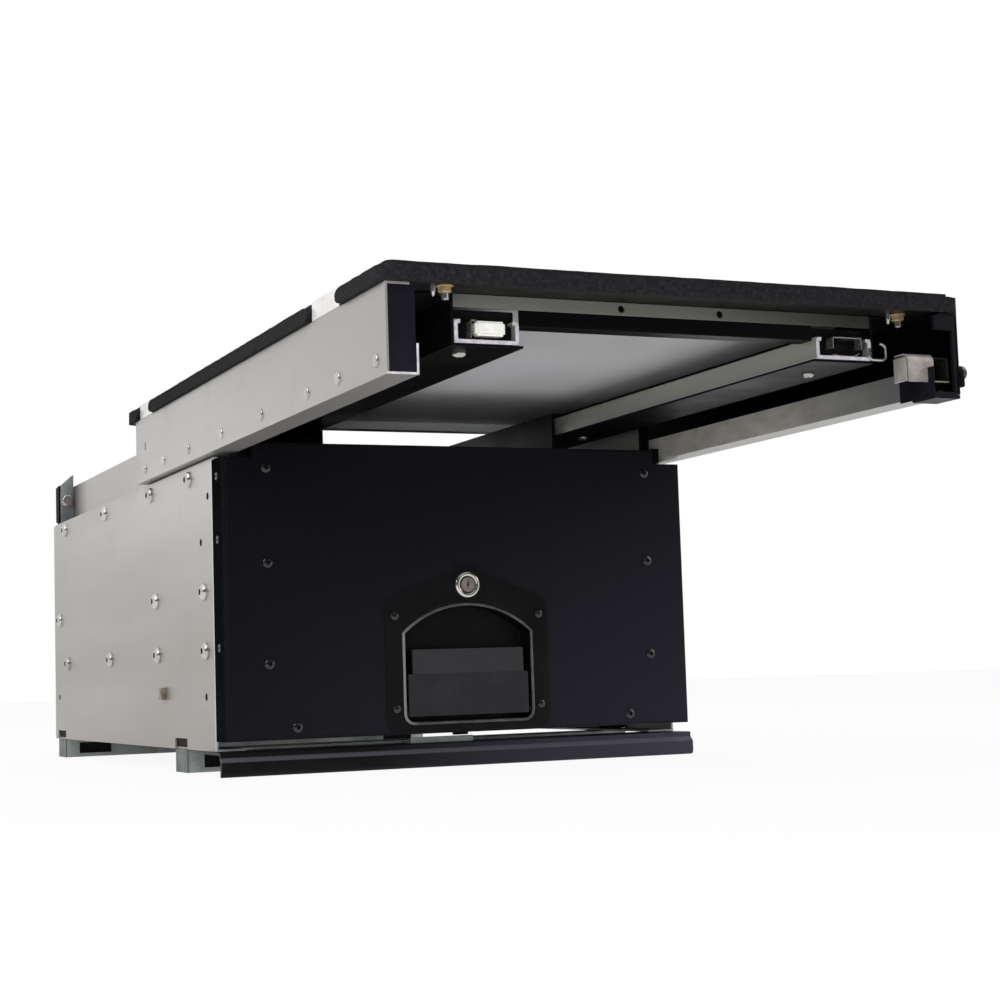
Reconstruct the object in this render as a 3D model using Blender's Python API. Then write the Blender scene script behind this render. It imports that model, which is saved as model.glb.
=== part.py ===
"""Cargo drawer box with a sliding load deck, drawn deck out and drawer shut.

Metres, +Z up, +X right, the drawer and the deck open towards -Y.
The origin is on the floor, on the centre line, under the side panels' front edges.
"""
import math

import bmesh
import bpy
from mathutils import Matrix, Vector

# Driving dimensions of the whole unit
BOX_WIDTH = 0.505
BOX_LENGTH = 0.800
SIDE_HEIGHT = 0.286
FLOOR_CLEARANCE = 0.024
DECK_SHORTER = 0.004
DECK_HEIGHT = 0.070
DECK_SIDE_OVERHANG = 0.0074
DECK_FRONT_SHUT = -0.037
DECK_DRAWN_SHARE = 0.5945
DECK_LIFT = 0.004
BOARD_THICKNESS = 0.0122
CARPET_THICKNESS = 0.0045

# Stock and clearances that every piece shares
SHEET = 0.002
SEAT_GAP = 0.0003
RUN_GAP = 0.002
CUT_OVERRUN = 0.001

# Levels and planes that the pieces meet at
HALF_WIDTH = BOX_WIDTH / 2
SIDE_BOTTOM = FLOOR_CLEARANCE
SIDE_TOP = SIDE_BOTTOM + SIDE_HEIGHT
SIDE_INNER = HALF_WIDTH - SHEET
DECK_BOTTOM = SIDE_TOP + DECK_LIFT
DECK_TOP = DECK_BOTTOM + DECK_HEIGHT
DECK_DRAWN_OUT = BOX_LENGTH * DECK_DRAWN_SHARE
DECK_FRONT = DECK_FRONT_SHUT - DECK_DRAWN_OUT
DECK_LENGTH = BOX_LENGTH - DECK_SHORTER
DECK_REAR = DECK_FRONT + DECK_LENGTH
DECK_HALF = HALF_WIDTH + DECK_SIDE_OVERHANG

SIDES = {"left": -1, "right": 1}


def clear_scene():
    """Remove whatever the open file holds."""
    for item in list(bpy.data.objects):
        bpy.data.objects.remove(item, do_unlink=True)


def material(name, colour, roughness, metallic):
    """A plain Principled material of one finish."""
    made = bpy.data.materials.new(name)
    made.use_nodes = True
    shader = made.node_tree.nodes["Principled BSDF"]
    shader.inputs["Base Color"].default_value = (*colour, 1.0)
    shader.inputs["Roughness"].default_value = roughness
    shader.inputs["Metallic"].default_value = metallic
    return made


def block(mesh, x, y, z):
    """Add a box between the (low, high) pairs x, y and z."""
    corners = [mesh.verts.new((i, j, k)) for i in x for j in y for k in z]
    for face in ((0, 1, 3, 2), (4, 6, 7, 5), (0, 4, 5, 1), (2, 3, 7, 6), (0, 2, 6, 4), (1, 5, 7, 3)):
        mesh.faces.new([corners[n] for n in face])


def placed(axis, across, along):
    """The point whose two cross coordinates and whose place along an axis are given."""
    first, second = across
    return {"x": (along, first, second), "y": (first, along, second), "z": (first, second, along)}[axis]


def prism(mesh, axis, outline, start, end):
    """Extrude a closed outline along an axis."""
    near = [mesh.verts.new(placed(axis, point, start)) for point in outline]
    far = [mesh.verts.new(placed(axis, point, end)) for point in outline]
    count = len(outline)
    for n in range(count):
        after = (n + 1) % count
        mesh.faces.new((near[n], near[after], far[after], far[n]))
    mesh.faces.new(near)
    mesh.faces.new(far)


def folded(path, sheet):
    """Outline of a folded sheet: the path is its outer face, the sheet lies to its left."""
    points = [Vector(point) for point in path]
    inner = []
    for n, point in enumerate(points):
        turns = []
        if n > 0:
            turns.append((point - points[n - 1]).normalized())
        if n < len(points) - 1:
            turns.append((points[n + 1] - point).normalized())
        normals = [Vector((-turn.y, turn.x)) for turn in turns]
        shift = sum(normals, Vector((0, 0)))
        if len(normals) == 2:
            shift = shift / (1 + normals[0].dot(normals[1]))
        inner.append(point + shift * sheet)
    return [tuple(p) for p in points] + [tuple(p) for p in reversed(inner)]


def arc(centre, radius, start, end, steps):
    """Points along an arc, angles in degrees."""
    turns = [math.radians(start + (end - start) * n / steps) for n in range(steps + 1)]
    return [(centre[0] + radius * math.cos(t), centre[1] + radius * math.sin(t)) for t in turns]


def turned(mesh, axis, centre, profile, sides):
    """Turn a profile of (along, radius) points about an axis through centre."""
    rings = []
    for along, radius in profile:
        ring = []
        for n in range(sides):
            angle = 2 * math.pi * (n + 0.5) / sides
            across = (centre[0] + radius * math.cos(angle), centre[1] + radius * math.sin(angle))
            ring.append(mesh.verts.new(placed(axis, across, along)))
        rings.append(ring)
    for low, high in zip(rings, rings[1:]):
        for n in range(sides):
            after = (n + 1) % sides
            mesh.faces.new((low[n], low[after], high[after], high[n]))
    mesh.faces.new(rings[0])
    mesh.faces.new(rings[-1])


def rod(mesh, axis, centre, start, end, radius, sides=10):
    """A plain round bar."""
    turned(mesh, axis, centre, [(start, radius), (end, radius)], sides)


def piece(name, mesh, finish, carrier=None, origin=(0, 0, 0), smooth_degrees=None):
    """Turn a mesh into a named object with its origin where asked."""
    bmesh.ops.recalc_face_normals(mesh, faces=mesh.faces)
    bmesh.ops.transform(mesh, matrix=Matrix.Translation(-Vector(origin)), verts=mesh.verts)
    data = bpy.data.meshes.new(name)
    mesh.to_mesh(data)
    mesh.free()
    if smooth_degrees is not None:
        data.shade_smooth()
        data.set_sharp_from_angle(angle=math.radians(smooth_degrees))
    made = bpy.data.objects.new(name, data)
    bpy.context.collection.objects.link(made)
    made.location = origin
    made.parent = carrier
    data.materials.append(finish)
    return made


def carrier_empty(name):
    """An empty that carries the pieces of one moving group."""
    made = bpy.data.objects.new(name, None)
    bpy.context.collection.objects.link(made)
    return made


def combine(target, mesh, operation="DIFFERENCE"):
    """Cut the mesh from the target, or join it to the target."""
    bmesh.ops.recalc_face_normals(mesh, faces=mesh.faces)
    data = bpy.data.meshes.new(target.name + "_tool")
    mesh.to_mesh(data)
    mesh.free()
    tool = bpy.data.objects.new(data.name, data)
    bpy.context.collection.objects.link(tool)
    tool.hide_render = True
    tool.display_type = "WIRE"
    change = target.modifiers.new(operation.lower(), "BOOLEAN")
    change.operation = operation
    change.solver = "EXACT"
    change.object = tool


def mirrored(side, low, high):
    """A (low, high) pair on one side of the centre line."""
    return tuple(sorted((side * low, side * high)))


# Bolts: their shanks and the holes for them
BOLT_SHANK = 0.003
BOLT_HOLE_GAP = 0.0003
NUT_RADIUS = 0.0055
NUT_HEIGHT = 0.0045
RIVET_HOLE = 0.0023
SCREW_HOLE = 0.0023
FASTENER_SIDES = 8


# Side panels: plain folded sheet with a foot flange, notched over the feet
SIDE_FLANGE = 0.030
NOTCH_HEIGHT = 0.011
REAR_FOOT_INSET = 0.0425
FOOT_PLACES = (0.1345, BOX_LENGTH - REAR_FOOT_INSET)
FOOT_DEPTH = 0.047
NOTCH_LENGTH = 0.050
TOP_ROW_DROP = 0.0115
TOP_ROW_SHARES = (0.105, 0.31, 0.5975, 0.8975)
MIDDLE_ROW_HEIGHT = 0.157
MIDDLE_ROW_SHARES = (0.04, 0.286, 0.9475)
SLIDE_ROW_HEIGHT = 0.0985
SLIDE_ROW_SHARES = (0.035, 0.279, 0.57, 0.885)
LINK_SLOT_SHARE = 0.2475
LINK_SLOT_HEIGHT = 0.057
LINK_SLOT_LENGTH = 0.016
LINK_SLOT_WIDTH = 0.009
SMALL_HOLE = 0.0024
SMALL_HOLE_SHARES = ((0.02, 0.878), (0.055, 0.724), (0.041, 0.185), (0.964, 0.192))


def side_hole_rows():
    """Places (y, z) of the bolts through a side panel, row by row."""
    top = [(share * BOX_LENGTH, SIDE_TOP - TOP_ROW_DROP) for share in TOP_ROW_SHARES]
    middle = [(share * BOX_LENGTH, SIDE_BOTTOM + MIDDLE_ROW_HEIGHT) for share in MIDDLE_ROW_SHARES]
    low = [(share * BOX_LENGTH, SIDE_BOTTOM + SLIDE_ROW_HEIGHT) for share in SLIDE_ROW_SHARES]
    return top, middle, low


def side_panel(label, finish):
    """One side of the box."""
    side = SIDES[label]
    mesh = bmesh.new()
    path = [
        (side * (HALF_WIDTH - SIDE_FLANGE), SIDE_BOTTOM),
        (side * HALF_WIDTH, SIDE_BOTTOM),
        (side * HALF_WIDTH, SIDE_TOP),
    ]
    prism(mesh, "y", folded(path, side * SHEET), 0, BOX_LENGTH)
    made = piece("side_panel_" + label, mesh, finish)
    tools = bmesh.new()
    through = mirrored(side, SIDE_INNER - SEAT_GAP, HALF_WIDTH + CUT_OVERRUN)
    for place in FOOT_PLACES:
        span = (place - NOTCH_LENGTH / 2, place + NOTCH_LENGTH / 2)
        block(tools, through, span, (SIDE_BOTTOM - CUT_OVERRUN, SIDE_BOTTOM + NOTCH_HEIGHT))
    for row in side_hole_rows():
        for centre in row:
            rod(tools, "x", centre, *through, BOLT_SHANK + BOLT_HOLE_GAP, FASTENER_SIDES)
    for along, up in SMALL_HOLE_SHARES:
        centre = (BOX_LENGTH * along, SIDE_BOTTOM + SIDE_HEIGHT * up)
        rod(tools, "x", centre, *through, SMALL_HOLE, FASTENER_SIDES)
    half_slot = LINK_SLOT_LENGTH / 2 - LINK_SLOT_WIDTH / 2
    slot_z = SIDE_BOTTOM + LINK_SLOT_HEIGHT
    slot_y = BOX_LENGTH * LINK_SLOT_SHARE
    rear = arc((slot_y + half_slot, slot_z), LINK_SLOT_WIDTH / 2, -90, 90, 5)
    front = arc((slot_y - half_slot, slot_z), LINK_SLOT_WIDTH / 2, 90, 270, 5)
    prism(tools, "x", rear + front, *through)
    combine(made, tools)
    bolt_holes = bmesh.new()
    floor_bolt_holes(bolt_holes, [side], FOOT_PLACES)
    combine(made, bolt_holes)
    return made


# Rear panel: a sheet set between the side panels with riveted side flanges
REAR_FLANGE = 0.034
REAR_BOTTOM_GAP = 0.004


def rear_panel(finish):
    """The closed back of the box, flanges turned forward."""
    mesh = bmesh.new()
    half = SIDE_INNER - SEAT_GAP
    path = [
        (half, BOX_LENGTH - REAR_FLANGE),
        (half, BOX_LENGTH),
        (-half, BOX_LENGTH),
        (-half, BOX_LENGTH - REAR_FLANGE),
    ]
    bottom = SIDE_BOTTOM + SHEET + REAR_BOTTOM_GAP
    top = SIDE_TOP - TOP_RAIL_LEG - RUN_GAP
    prism(mesh, "z", folded(path, SHEET), bottom, top)
    return piece("rear_panel", mesh, finish)


# Feet: pressed channels across the box, and the front sill on the same floor
FOOT_LIP = 0.010
FOOT_SLOT_START = 0.018
FOOT_SLOT_LENGTH = 0.042
FOOT_SLOT_HEIGHT = 0.014
FOOT_TOP = SIDE_BOTTOM - SEAT_GAP


def foot_channel(label, place, finish):
    """A pan across the box: closed ends, lips turned in along the floor."""
    front = place - FOOT_DEPTH / 2
    rear = place + FOOT_DEPTH / 2
    mesh = bmesh.new()
    block(mesh, (-HALF_WIDTH, HALF_WIDTH), (front, rear), (0, FOOT_TOP))
    made = piece("foot_channel_" + label, mesh, finish)
    low, high = (SHEET, FOOT_TOP - SHEET)
    outline = [
        (front + FOOT_LIP, -CUT_OVERRUN),
        (rear - FOOT_LIP, -CUT_OVERRUN),
        (rear - FOOT_LIP, low),
        (rear - SHEET, low),
        (rear - SHEET, high),
        (front + SHEET, high),
        (front + SHEET, low),
        (front + FOOT_LIP, low),
    ]
    hollow = bmesh.new()
    prism(hollow, "x", outline, -HALF_WIDTH + SHEET, HALF_WIDTH - SHEET)
    combine(made, hollow)
    slots = bmesh.new()
    slot_z = (FOOT_TOP / 2 - FOOT_SLOT_HEIGHT / 2, FOOT_TOP / 2 + FOOT_SLOT_HEIGHT / 2)
    for side in SIDES.values():
        near = HALF_WIDTH - FOOT_SLOT_START
        span = mirrored(side, near - FOOT_SLOT_LENGTH, near)
        block(slots, span, (front - CUT_OVERRUN, front + SHEET + CUT_OVERRUN), slot_z)
    floor_bolt_holes(slots, SIDES.values(), [place])
    combine(made, slots)
    return made


SILL_FRONT = -0.034
SILL_NOSE = 0.003
SILL_LIP_TOP = 0.0145
SILL_SHOULDER = 0.0185
SILL_STEP = -0.029
SILL_REAR = 0.030
SILL_SHEET = 0.0025
SILL_OVERHANG = 0.0045


def front_sill(finish):
    """The black folded sill under the drawer and the side panels, with a sloping shoulder and closed ends."""
    mesh = bmesh.new()
    top = SIDE_BOTTOM - SEAT_GAP
    path = [
        (SILL_REAR, 0),
        (SILL_FRONT + SILL_NOSE, 0),
        (SILL_FRONT, SILL_NOSE),
        (SILL_FRONT, SILL_LIP_TOP),
        (SILL_STEP, SILL_SHOULDER),
        (SILL_STEP, top),
        (SILL_REAR, top),
    ]
    half = HALF_WIDTH + SILL_OVERHANG
    prism(mesh, "x", folded(path, -SILL_SHEET), -half, half)
    made = piece("front_sill", mesh, finish)
    for side in SIDES.values():
        end = bmesh.new()
        prism(end, "x", path, *mirrored(side, half - SILL_SHEET, half))
        combine(made, end, "UNION")
    return made


FLOOR_BOLT_INSET = 0.016


def floor_bolt_holes(mesh, sides, places):
    """Holes for the bolts that hold the side panels' flanges down on the feet."""
    for side in sides:
        for place in places:
            centre = (side * (HALF_WIDTH - FLOOR_BOLT_INSET), place)
            low = FOOT_TOP - SHEET - CUT_OVERRUN
            high = SIDE_BOTTOM + SHEET + CUT_OVERRUN
            rod(mesh, "z", centre, low, high, BOLT_SHANK + BOLT_HOLE_GAP, FASTENER_SIDES)


# Top rails: folded Z rails bolted inside the side panels' top edges
TOP_RAIL_LEG = 0.026
TOP_RAIL_INSET = 0.0206
TOP_RAIL_RISE = 0.052
TOP_RAIL_CORNER = SIDE_TOP + SEAT_GAP


def top_rail(label, finish):
    """One Z rail: a leg inside the panel, a shelf over its edge, a fence above."""
    side = SIDES[label]
    mesh = bmesh.new()
    outer = SIDE_INNER - SEAT_GAP
    fence = HALF_WIDTH - TOP_RAIL_INSET
    path = [
        (side * outer, SIDE_TOP - TOP_RAIL_LEG),
        (side * outer, TOP_RAIL_CORNER + SHEET),
        (side * fence, TOP_RAIL_CORNER + SHEET),
        (side * fence, SIDE_TOP + TOP_RAIL_RISE),
    ]
    prism(mesh, "y", folded(path, side * SHEET), 0, BOX_LENGTH - SHEET - SEAT_GAP)
    return piece("top_rail_" + label, mesh, finish)


FENCE_INNER = HALF_WIDTH - TOP_RAIL_INSET - SHEET

# Top ties across the box and the hangers that stand on them
TIE_DEPTH = 0.040
REAR_TIE_INSET = 0.056
TIE_PLACES = {"front": 0.040, "rear": BOX_LENGTH - REAR_TIE_INSET}
TIE_HEIGHT = 0.012
TIE_BOTTOM = SIDE_TOP + RUN_GAP
TIE_TOP = TIE_BOTTOM + TIE_HEIGHT


def top_tie(label, finish):
    """A black channel that ties the two top rails together."""
    front = TIE_PLACES[label] - TIE_DEPTH / 2
    rear = TIE_PLACES[label] + TIE_DEPTH / 2
    mesh = bmesh.new()
    path = [(rear, TIE_BOTTOM), (rear, TIE_TOP), (front, TIE_TOP), (front, TIE_BOTTOM)]
    half = FENCE_INNER - SEAT_GAP
    prism(mesh, "x", folded(path, SHEET), -half, half)
    return piece("top_tie_" + label, mesh, finish)


# Deck beams: black Z beams under the board that carry the slides
BEAM_INSET = 0.058
BEAM_TOP_FLANGE = 0.028
BEAM_LOW_FLANGE = 0.061
BEAM_DEPTH = 0.041
BEAM_SETBACK = 0.006
BEAM_TOP = DECK_TOP
BEAM_BOTTOM = BEAM_TOP - BEAM_DEPTH

# Telescopic deck slides, lying flat on the beams' low flanges
SLIDE_WIDTH = 0.055
SLIDE_THICK = 0.0187
SLIDE_SHEET = 0.0022
SLIDE_LIP = 0.003
SLIDE_END_ROOM = 0.040
SLIDE_LENGTH = BOX_LENGTH - SLIDE_END_ROOM
SLIDE_SETBACK = 0.0306
CAGE_OUTER = 0.0028
CAGE_INNER = 0.0024
CAGE_HEIGHT = 0.0075
SLIDE_FLOOR_GAP = 0.0025
SLIDE_BASE = BEAM_BOTTOM + SHEET + SEAT_GAP
SLIDE_CENTRE = HALF_WIDTH - BEAM_INSET - SHEET - SEAT_GAP - SLIDE_WIDTH / 2
SLIDE_FRONT = DECK_FRONT + SLIDE_SETBACK
SLIDE_SHUT_FRONT = SLIDE_FRONT + DECK_DRAWN_OUT
MIDDLE_WIDTH = SLIDE_WIDTH - 2 * (SLIDE_SHEET + CAGE_OUTER + 2 * SEAT_GAP)
INNER_WIDTH = MIDDLE_WIDTH - 2 * (SHEET + CAGE_INNER + 2 * SEAT_GAP)
MIDDLE_BASE = SLIDE_BASE + SLIDE_SHEET + SLIDE_FLOOR_GAP
MIDDLE_TOP = SLIDE_BASE + SLIDE_THICK - SLIDE_SHEET - SEAT_GAP
INNER_BOTTOM = MIDDLE_BASE + SHEET + SLIDE_FLOOR_GAP / 2
INNER_RISE = 0.0015
INNER_TOP = SLIDE_BASE + SLIDE_THICK + INNER_RISE

# Hanger rails that hold the slides' inner members over the beams
HANGER_SHEET = 0.0025
HANGER_GAP = 0.004
HANGER_FOOT = 0.026
HANGER_FRONT = 0.020
HANGER_REAR = BOX_LENGTH - REAR_FLANGE - RUN_GAP
HANGER_WEB = HALF_WIDTH - BEAM_INSET - BEAM_LOW_FLANGE - HANGER_GAP


def hanger_rail(label, finish):
    """A black Z rail on the ties, its top flange reaching out over the slide."""
    side = SIDES[label]
    mesh = bmesh.new()
    base = TIE_TOP + SEAT_GAP
    top = INNER_TOP + SEAT_GAP + HANGER_SHEET
    reach = SLIDE_CENTRE + INNER_WIDTH / 2
    path = [
        (side * (HANGER_WEB - HANGER_FOOT), base + HANGER_SHEET),
        (side * HANGER_WEB, base + HANGER_SHEET),
        (side * HANGER_WEB, top),
        (side * reach, top),
    ]
    prism(mesh, "y", folded(path, -side * HANGER_SHEET), HANGER_FRONT, HANGER_REAR)
    return piece("hanger_rail_" + label, mesh, finish)


def slide_section(width, low, high, sheet, lip):
    """Outline of a slide member: across its width, and its depth from the mounting face."""
    half = width / 2
    path = [(half, high), (half, low), (-half, low), (-half, high)]
    if lip:
        path = [(half - sheet - lip, high)] + path + [(-half + sheet + lip, high)]
    return folded(path, -sheet)


def cap_section(low, high, sheet):
    """Outline of the inner member, which opens towards the mounting face."""
    half = INNER_WIDTH / 2
    return folded([(half, low), (half, high), (-half, high), (-half, low)], sheet)


def lying(side, points):
    """Lay a slide section flat on a beam."""
    centre = side * SLIDE_CENTRE
    return [(centre + across, SLIDE_BASE + depth) for across, depth in points]


def middle_member(name, fit, span, halves, finish, carrier):
    """A middle member and its ball cages; fit turns section points to their place."""
    start, end = span
    base = MIDDLE_BASE - SLIDE_BASE
    mesh = bmesh.new()
    prism(mesh, "y", fit(slide_section(MIDDLE_WIDTH, base, MIDDLE_TOP - SLIDE_BASE, SHEET, 0)), start, end)
    made = piece(name, mesh, finish, carrier)
    wall = MIDDLE_WIDTH / 2 - SHEET / 2
    outer = (wall, MIDDLE_WIDTH / 2 + SEAT_GAP + CAGE_OUTER, base + SHEET / 2)
    inner = (INNER_WIDTH / 2 + SEAT_GAP, wall, INNER_BOTTOM - SLIDE_BASE)
    length = (end - start) / 2
    cages = bmesh.new()
    for edge in SIDES.values():
        for (near, far, low), half in zip((outer, inner), halves):
            high = low + CAGE_HEIGHT
            corners = [(edge * near, low), (edge * far, low), (edge * far, high), (edge * near, high)]
            cage_start = start + half * length + SHEET / 2
            prism(cages, "y", fit(corners), cage_start, cage_start + length - SHEET)
    combine(made, cages, "UNION")
    return made


def deck_slide_outer(label, finish, carrier):
    """The deck's slide member, screwed to the beam."""
    mesh = bmesh.new()
    section = slide_section(SLIDE_WIDTH, 0, SLIDE_THICK, SLIDE_SHEET, SLIDE_LIP)
    prism(mesh, "y", lying(SIDES[label], section), SLIDE_FRONT, SLIDE_FRONT + SLIDE_LENGTH)
    return piece("deck_slide_outer_" + label, mesh, finish, carrier)


def deck_slide_middle(label, finish, carrier):
    """The middle member, half as far out as the deck, behind the slide's front stop."""
    shift = SLIDE_SHUT_FRONT - DECK_DRAWN_OUT / 2
    span = (shift + SLIDE_STOP_DEPTH + RUN_GAP, shift + SLIDE_LENGTH)
    side = SIDES[label]
    name = "deck_slide_middle_" + label
    return middle_member(name, lambda points: lying(side, points), span, (0, 1), finish, carrier)


def deck_slide_inner(label, finish):
    """The fixed member, hung open side down from the hanger rail."""
    mesh = bmesh.new()
    section = cap_section(INNER_BOTTOM - SLIDE_BASE, INNER_TOP - SLIDE_BASE, SHEET)
    end = SLIDE_SHUT_FRONT + SLIDE_LENGTH
    prism(mesh, "y", lying(SIDES[label], section), HANGER_FRONT, end)
    return piece("deck_slide_inner_" + label, mesh, finish)


SLIDE_STOP_DEPTH = 0.020


# Deck side channels with their riveted row, and the caps on their ends
CHANNEL_WIDTH = 0.026
CHANNEL_LIP = 0.024
CHANNEL_LIP_CUT = 0.042
CHANNEL_TOP_FLANGE = 0.020
RIVET_ROW_RISE = 0.013
RIVET_SHARES = (0.0276, 0.137, 0.235, 0.3995, 0.563, 0.7173, 0.844, 0.947)
TAIL_SLOT_LOW = 0.034
TAIL_SLOT_HIGH = 0.042


def rivet_places(side):
    """Where a channel is riveted; the right one has the thumb bolt in the first one's place."""
    shares = RIVET_SHARES if side < 0 else RIVET_SHARES[1:]
    return [(DECK_FRONT + DECK_LENGTH * share, DECK_BOTTOM + RIVET_ROW_RISE) for share in shares]


def deck_channel(label, finish, carrier):
    """A lipped side channel; the right one's lip is cut back at the latch."""
    side = SIDES[label]
    mesh = bmesh.new()
    lip = DECK_HALF - CHANNEL_WIDTH
    path = [
        (side * (DECK_HALF - CHANNEL_TOP_FLANGE), DECK_TOP),
        (side * DECK_HALF, DECK_TOP),
        (side * DECK_HALF, DECK_BOTTOM),
        (side * lip, DECK_BOTTOM),
        (side * lip, DECK_BOTTOM + CHANNEL_LIP),
    ]
    prism(mesh, "y", folded(path, -side * SHEET), DECK_FRONT, DECK_REAR)
    made = piece("deck_channel_" + label, mesh, finish, carrier)
    tools = bmesh.new()
    wall = mirrored(side, DECK_HALF - SHEET - CUT_OVERRUN, DECK_HALF + CUT_OVERRUN)
    for centre in rivet_places(side):
        rod(tools, "x", centre, *wall, RIVET_HOLE, FASTENER_SIDES)
    slot = rivet_places(side)[-1][0]
    slot_z = (DECK_BOTTOM + TAIL_SLOT_LOW, DECK_BOTTOM + TAIL_SLOT_HIGH)
    block(tools, wall, (slot - RIVET_HOLE, slot + RIVET_HOLE), slot_z)
    if label == "right":
        span = mirrored(side, lip - CUT_OVERRUN, lip + SHEET + SEAT_GAP)
        cut_y = (DECK_FRONT - CUT_OVERRUN, DECK_FRONT + CHANNEL_LIP_CUT)
        cut_z = (DECK_BOTTOM + SHEET, DECK_BOTTOM + CHANNEL_LIP + CUT_OVERRUN)
        block(tools, span, cut_y, cut_z)
        bar_y = (LATCH_BAR_Y - LATCH_BAR_WIDTH / 2 - RUN_GAP / 2, LATCH_BAR_Y + LATCH_BAR_WIDTH / 2 + RUN_GAP / 2)
        bar_z = (LATCH_BAR_Z - SEAT_GAP, LATCH_BAR_Z + LATCH_BAR_THICK + SEAT_GAP)
        block(tools, wall, bar_y, bar_z)
    combine(made, tools)
    return made


CAP_THICK = 0.004
CAP_SKIRT = 0.0035
CAP_WINDOW_RISE = 0.055


def end_cap(label, finish, carrier):
    """A moulded cap inside the channel's front end; the right one has the latch window."""
    side = SIDES[label]
    mesh = bmesh.new()
    span = mirrored(side, DECK_HALF - CHANNEL_WIDTH + SHEET + SEAT_GAP, DECK_HALF - SHEET - SEAT_GAP)
    height = (DECK_BOTTOM + SHEET + SEAT_GAP, DECK_TOP - SHEET - SEAT_GAP)
    block(mesh, span, (DECK_FRONT, DECK_FRONT + CAP_THICK), height)
    made = piece("end_cap_" + label, mesh, finish, carrier)
    if label == "right":
        tools = bmesh.new()
        window = mirrored(side, 0, DECK_HALF - SHEET - CAP_SKIRT)
        span_y = (DECK_FRONT - CUT_OVERRUN, DECK_FRONT + CAP_THICK + CUT_OVERRUN)
        block(tools, window, span_y, (DECK_BOTTOM, DECK_BOTTOM + CAP_WINDOW_RISE))
        combine(made, tools)
    return made


def deck_beam(label, finish, carrier):
    """A black Z beam under the deck."""
    side = SIDES[label]
    mesh = bmesh.new()
    web = HALF_WIDTH - BEAM_INSET
    path = [
        (side * (web + BEAM_TOP_FLANGE), BEAM_TOP),
        (side * (web - SHEET), BEAM_TOP),
        (side * (web - SHEET), BEAM_BOTTOM + SHEET),
        (side * (web - BEAM_LOW_FLANGE), BEAM_BOTTOM + SHEET),
    ]
    prism(mesh, "y", folded(path, side * SHEET), SLIDE_FRONT, DECK_REAR - BEAM_SETBACK)
    return piece("deck_beam_" + label, mesh, finish, carrier)


# Cross members, the galvanised front plate and the bright underside sheet
CROSS_BOTTOM_DROP = 0.023
CROSS_DEPTH = 0.018
CROSS_SETBACK = 0.0336
FRONT_PLATE_DROP = 0.0105
FRONT_PLATE_HOLES = (-0.0455, 0.0455)
FRONT_PLATE_HOLE = 0.0032
UNDERSIDE_INSET = 0.063
UNDERSIDE_FOLD = 0.010
UNDERSIDE_SHEET = 0.001
MEMBER_TOP = DECK_TOP
BETWEEN_BEAMS = HALF_WIDTH - BEAM_INSET - SHEET - SEAT_GAP


def deck_cross_front(finish, carrier):
    """A black channel between the slides, behind the front plate."""
    mesh = bmesh.new()
    front = DECK_FRONT + CROSS_SETBACK
    path = [
        (front + CROSS_DEPTH, MEMBER_TOP),
        (front, MEMBER_TOP),
        (front, MEMBER_TOP - CROSS_BOTTOM_DROP),
        (front + CROSS_DEPTH, MEMBER_TOP - CROSS_BOTTOM_DROP),
    ]
    half = SLIDE_CENTRE - SLIDE_WIDTH / 2 - RUN_GAP
    prism(mesh, "x", folded(path, SHEET), -half, half)
    return piece("deck_cross_front", mesh, finish, carrier)


def deck_front_plate(finish, carrier):
    """The galvanised plate across the front under the board."""
    mesh = bmesh.new()
    rear = DECK_FRONT + CROSS_SETBACK - SEAT_GAP
    height = (MEMBER_TOP - FRONT_PLATE_DROP, MEMBER_TOP)
    block(mesh, (-BETWEEN_BEAMS, BETWEEN_BEAMS), (rear - SHEET, rear), height)
    made = piece("deck_front_plate", mesh, finish, carrier)
    tools = bmesh.new()
    for place in FRONT_PLATE_HOLES:
        centre = (place, MEMBER_TOP - FRONT_PLATE_DROP / 2)
        rod(tools, "y", centre, rear - SHEET - CUT_OVERRUN, rear + CUT_OVERRUN, FRONT_PLATE_HOLE,
            FASTENER_SIDES)
    combine(made, tools)
    return made


def deck_underside(finish, carrier):
    """The bright sheet under the board, its rear edge folded down as a shallow stiffener."""
    mesh = bmesh.new()
    start = DECK_FRONT + CROSS_SETBACK + CROSS_DEPTH + SEAT_GAP
    end = DECK_REAR - UNDERSIDE_INSET
    path = [(start, MEMBER_TOP), (end, MEMBER_TOP), (end, MEMBER_TOP - UNDERSIDE_FOLD)]
    prism(mesh, "x", folded(path, -UNDERSIDE_SHEET), -BETWEEN_BEAMS, BETWEEN_BEAMS)
    return piece("deck_underside_sheet", mesh, finish, carrier)


# Board and carpet, notched at the edges for the four lashing pans
BOARD_BOTTOM = DECK_TOP + SEAT_GAP
CARPET_TOP = BOARD_BOTTOM + BOARD_THICKNESS + SEAT_GAP + CARPET_THICKNESS
CARPET_OVERHANG = 0.004
CARPET_REAR_OVERHANG = 0.030
CARPET_CORNER = 0.014
REAR_PAN_INSET = 0.047
PAN_PLACES = {"front": 0.1375, "rear": DECK_LENGTH - REAR_PAN_INSET}
PAN_LENGTHS = {"front": 0.068, "rear": 0.053}
PAN_DEPTH = 0.040
PAN_SHEET = 0.0015
PAN_TOP = CARPET_TOP - 0.001


def notch_span(end, gap):
    """Front and rear of a lashing pan, widened by a gap."""
    middle = DECK_FRONT + PAN_PLACES[end]
    half = PAN_LENGTHS[end] / 2 + gap
    return (middle - half, middle + half)


def deck_notches(mesh, depth, low, high):
    """Add the four edge notches to a cutter."""
    outer = DECK_HALF + CARPET_OVERHANG + CUT_OVERRUN
    for side in SIDES.values():
        for end in PAN_PLACES:
            block(mesh, mirrored(side, DECK_HALF - depth, outer), notch_span(end, SEAT_GAP), (low, high))


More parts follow.
